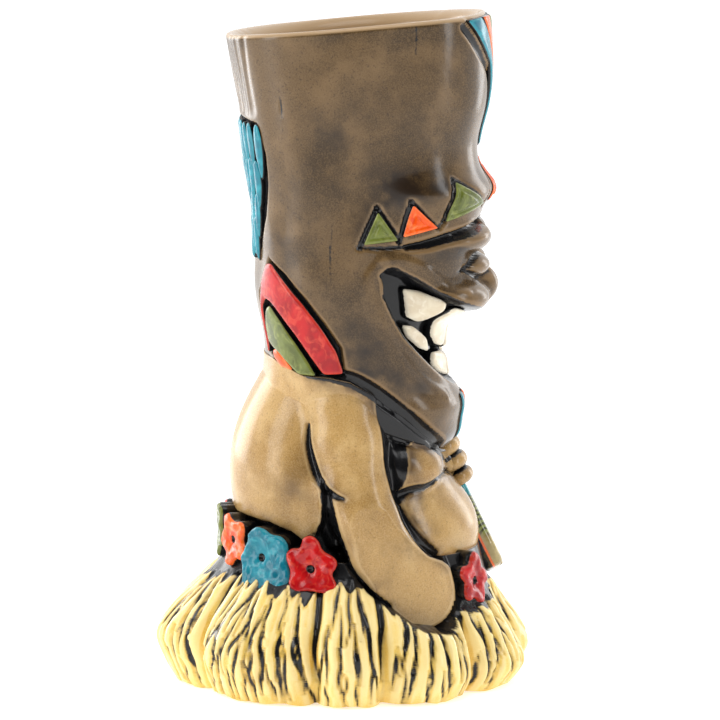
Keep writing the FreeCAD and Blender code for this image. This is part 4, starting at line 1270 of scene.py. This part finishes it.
blade = filled_sheet(BLADE, 0.5)
side, down, depth = sheet_depth(blade, BLADE)
through = blade.verts.layers.float.new("through")
raised = thickened(blade, off_fist(side, down, 1.5 + 1.9 * pillow(depth, 2.2)),
                   off_fist(side, down, -1.5 - 1.6 * pillow(depth, 1.6)))
for v in blade.verts:
    v[through] = 0.0 if v in raised else 1.0
rolled(blade, [(0, -8, 0), (0, -4, 0), (0, 4, 0), (0, 12, 0), (0, 16, 0)], [3.2, 3, 2.8, 2.9, 3])
bmesh.ops.recalc_face_normals(blade, faces=blade.faces)
new_piece("painted_paddle", blade, PADDLE_PAINT, ("paddle",))

# %% Fingers
fist = bmesh.new()
FINGER_PITCH = 5.0
for i, size in enumerate((2.6, 2.9, 2.9, 2.5)):
    d = (i - 1.5) * FINGER_PITCH
    rolled(fist, [(-6.5, d + 1.2, -1.5), (-4.6, d + 0.6, 3.2), (0, d, 4.6), (4.4, d - 0.2, 3.4), (6.2, d - 0.2, -0.6)],
           [size * 0.9, size, size, size * 0.96, size * 0.85])
rolled(fist, [(2, -7.5, -2), (5.4, -4, -1), (6.2, 0, 0), (5, 4, 1.5)], [2.8, 3.1, 3.0, 2.5])
bmesh.ops.recalc_face_normals(fist, faces=fist.faces)
pool, painted_shade = fist.verts.layers.float.new("pool"), fist.verts.layers.float.new("painted_shade")
for v in fist.verts:
    along = float(np.array((0, -v.co.y * 1000 - FIST_FORWARD, v.co.z * 1000 - FIST_Z)) @ DOWN)
    between = abs((along / FINGER_PITCH + 0.5) % 1 - 0.5) * FINGER_PITCH
    v[pool] = between - 0.55 if abs(along) < 8 else 1.0
    # Painted shade in the creases between the fingers.
    v[painted_shade] = 0.7 * math.exp(-max(between - 0.4, 0) / 0.9)
new_piece("fist", fist, GLAZES["tan"], ("left_fingers",))
print("paddle and fist made")

# %% [markdown]
# ## The floor of the mug
# The disc that closes the foot is a plain turned shape, so it stays as it is and only gets its glaze: the same warm
# inside coat, settled darker where it pooled.

# %% The floor's glaze
g = Glaze("Foot glaze", 0.25, THIN_COAT)
foot = g.mix(g.cloud(60, 4, 0.8), INSIDE, (0.34, 0.22, 0.115))
foot = g.mix(g.share(0.4, g.cloud(1500, 2, 0, 0.56, 0.70)), foot, (0.09, 0.052, 0.024))
FOOT_GLAZE = g.finish(foot, g.cloud(420, 2), 0.1)
for piece in bpy.context.scene.objects:
    if piece.type == "MESH" and "floor_slab" in piece.name:
        for slot in piece.material_slots:
            slot.material = FOOT_GLAZE
        print(piece.name, "glazed")

# %% [markdown]
# ## Floor, light and camera
# The mug stands on a white sweep under big soft boxes: a long one on the nose side, a wide one behind the back and one
# overhead, which draw the pale highlights down the wet-looking glaze. Two edge boxes light the far side. The camera is
# a long lens a metre away, level with the chest and looking slightly down.

# %% White floor
bm = bmesh.new()
bmesh.ops.create_grid(bm, x_segments=1, y_segments=1, size=15)
floor_mesh = bpy.data.meshes.new("floor")
bm.to_mesh(floor_mesh)
bm.free()
floor = bpy.data.objects.new("floor", floor_mesh)
bpy.context.scene.collection.objects.link(floor)
floor_material = bpy.data.materials.new("White sweep")
floor_material.use_nodes = True
floor_shader = floor_material.node_tree.nodes["Principled BSDF"]
floor_shader.inputs["Base Color"].default_value = (0.93, 0.93, 0.93, 1)
floor_shader.inputs["Roughness"].default_value = 0.9
floor_shader.inputs["Emission Color"].default_value = (1, 1, 1, 1)
floor_shader.inputs["Emission Strength"].default_value = 0.5
floor.data.materials.append(floor_material)

# %% Sky and soft boxes
world = bpy.data.worlds.new("Studio")
world.use_nodes = True
sky = world.node_tree
toward = sky.nodes.new("ShaderNodeSeparateXYZ")
sky.links.new(sky.nodes.new("ShaderNodeTexCoord").outputs["Generated"], toward.inputs[0])
sky.nodes["Background"].inputs["Color"].default_value = (1, 1, 1, 1)
dim = sky.nodes.new("ShaderNodeMapRange")
dim.interpolation_type = "SMOOTHSTEP"
for key, number in (("From Min", -0.95), ("From Max", 0.7), ("To Min", 0.03), ("To Max", 1.25)):
    dim.inputs[key].default_value = number
sky.links.new(toward.outputs["X"], dim.inputs["Value"])
sky.links.new(dim.outputs["Result"], sky.nodes["Background"].inputs["Strength"])
bpy.context.scene.world = world


def soft_box(name, place, target, wide, tall, watts):
    """An area light at place, looking at target (metres)."""
    light = bpy.data.lights.new(name, "AREA")
    light.shape = "RECTANGLE"
    light.size, light.size_y, light.energy = wide, tall, watts
    lamp = bpy.data.objects.new(name, light)
    bpy.context.scene.collection.objects.link(lamp)
    lamp.location = place
    lamp.rotation_euler = (Vector(target) - Vector(place)).to_track_quat("-Z", "Y").to_euler()
    return lamp


MIDDLE = (0, 0, 0.1)
soft_box("face_box", (-0.42, -0.75, 0.40), MIDDLE, 0.14, 0.7, 2.2)
soft_box("back_box", (-0.30, 0.8, 0.35), MIDDLE, 0.35, 0.9, 4.4)
soft_box("back_edge_box", (0.62, 0.70, 0.22), MIDDLE, 0.5, 0.9, 6.0)
soft_box("front_edge_box", (0.62, -0.72, 0.25), MIDDLE, 0.25, 0.8, 2.0)
soft_box("top_box", (-0.35, 0.0, 0.95), MIDDLE, 0.5, 0.5, 2.2)

# %% Camera
camera_data = bpy.data.cameras.new("camera")
camera_data.lens = 178.7
camera_data.sensor_width = 36
camera_data.clip_end = 20
camera = bpy.data.objects.new("camera", camera_data)
bpy.context.scene.collection.objects.link(camera)
camera.location = (-1.0554, 0.03685, 0.240)
turn_down, turn_side = math.radians(-7.84), math.radians(-0.2725)
ahead = Matrix.Rotation(turn_side, 3, "Z") @ Vector((
    0.99939 * math.cos(turn_down), -0.0349 * math.cos(turn_down), math.sin(turn_down)))
camera.rotation_euler = ahead.to_track_quat("-Z", "Y").to_euler()
bpy.context.scene.camera = camera
bpy.context.scene.view_settings.view_transform = "Standard"
bpy.context.scene.view_settings.look = "None"
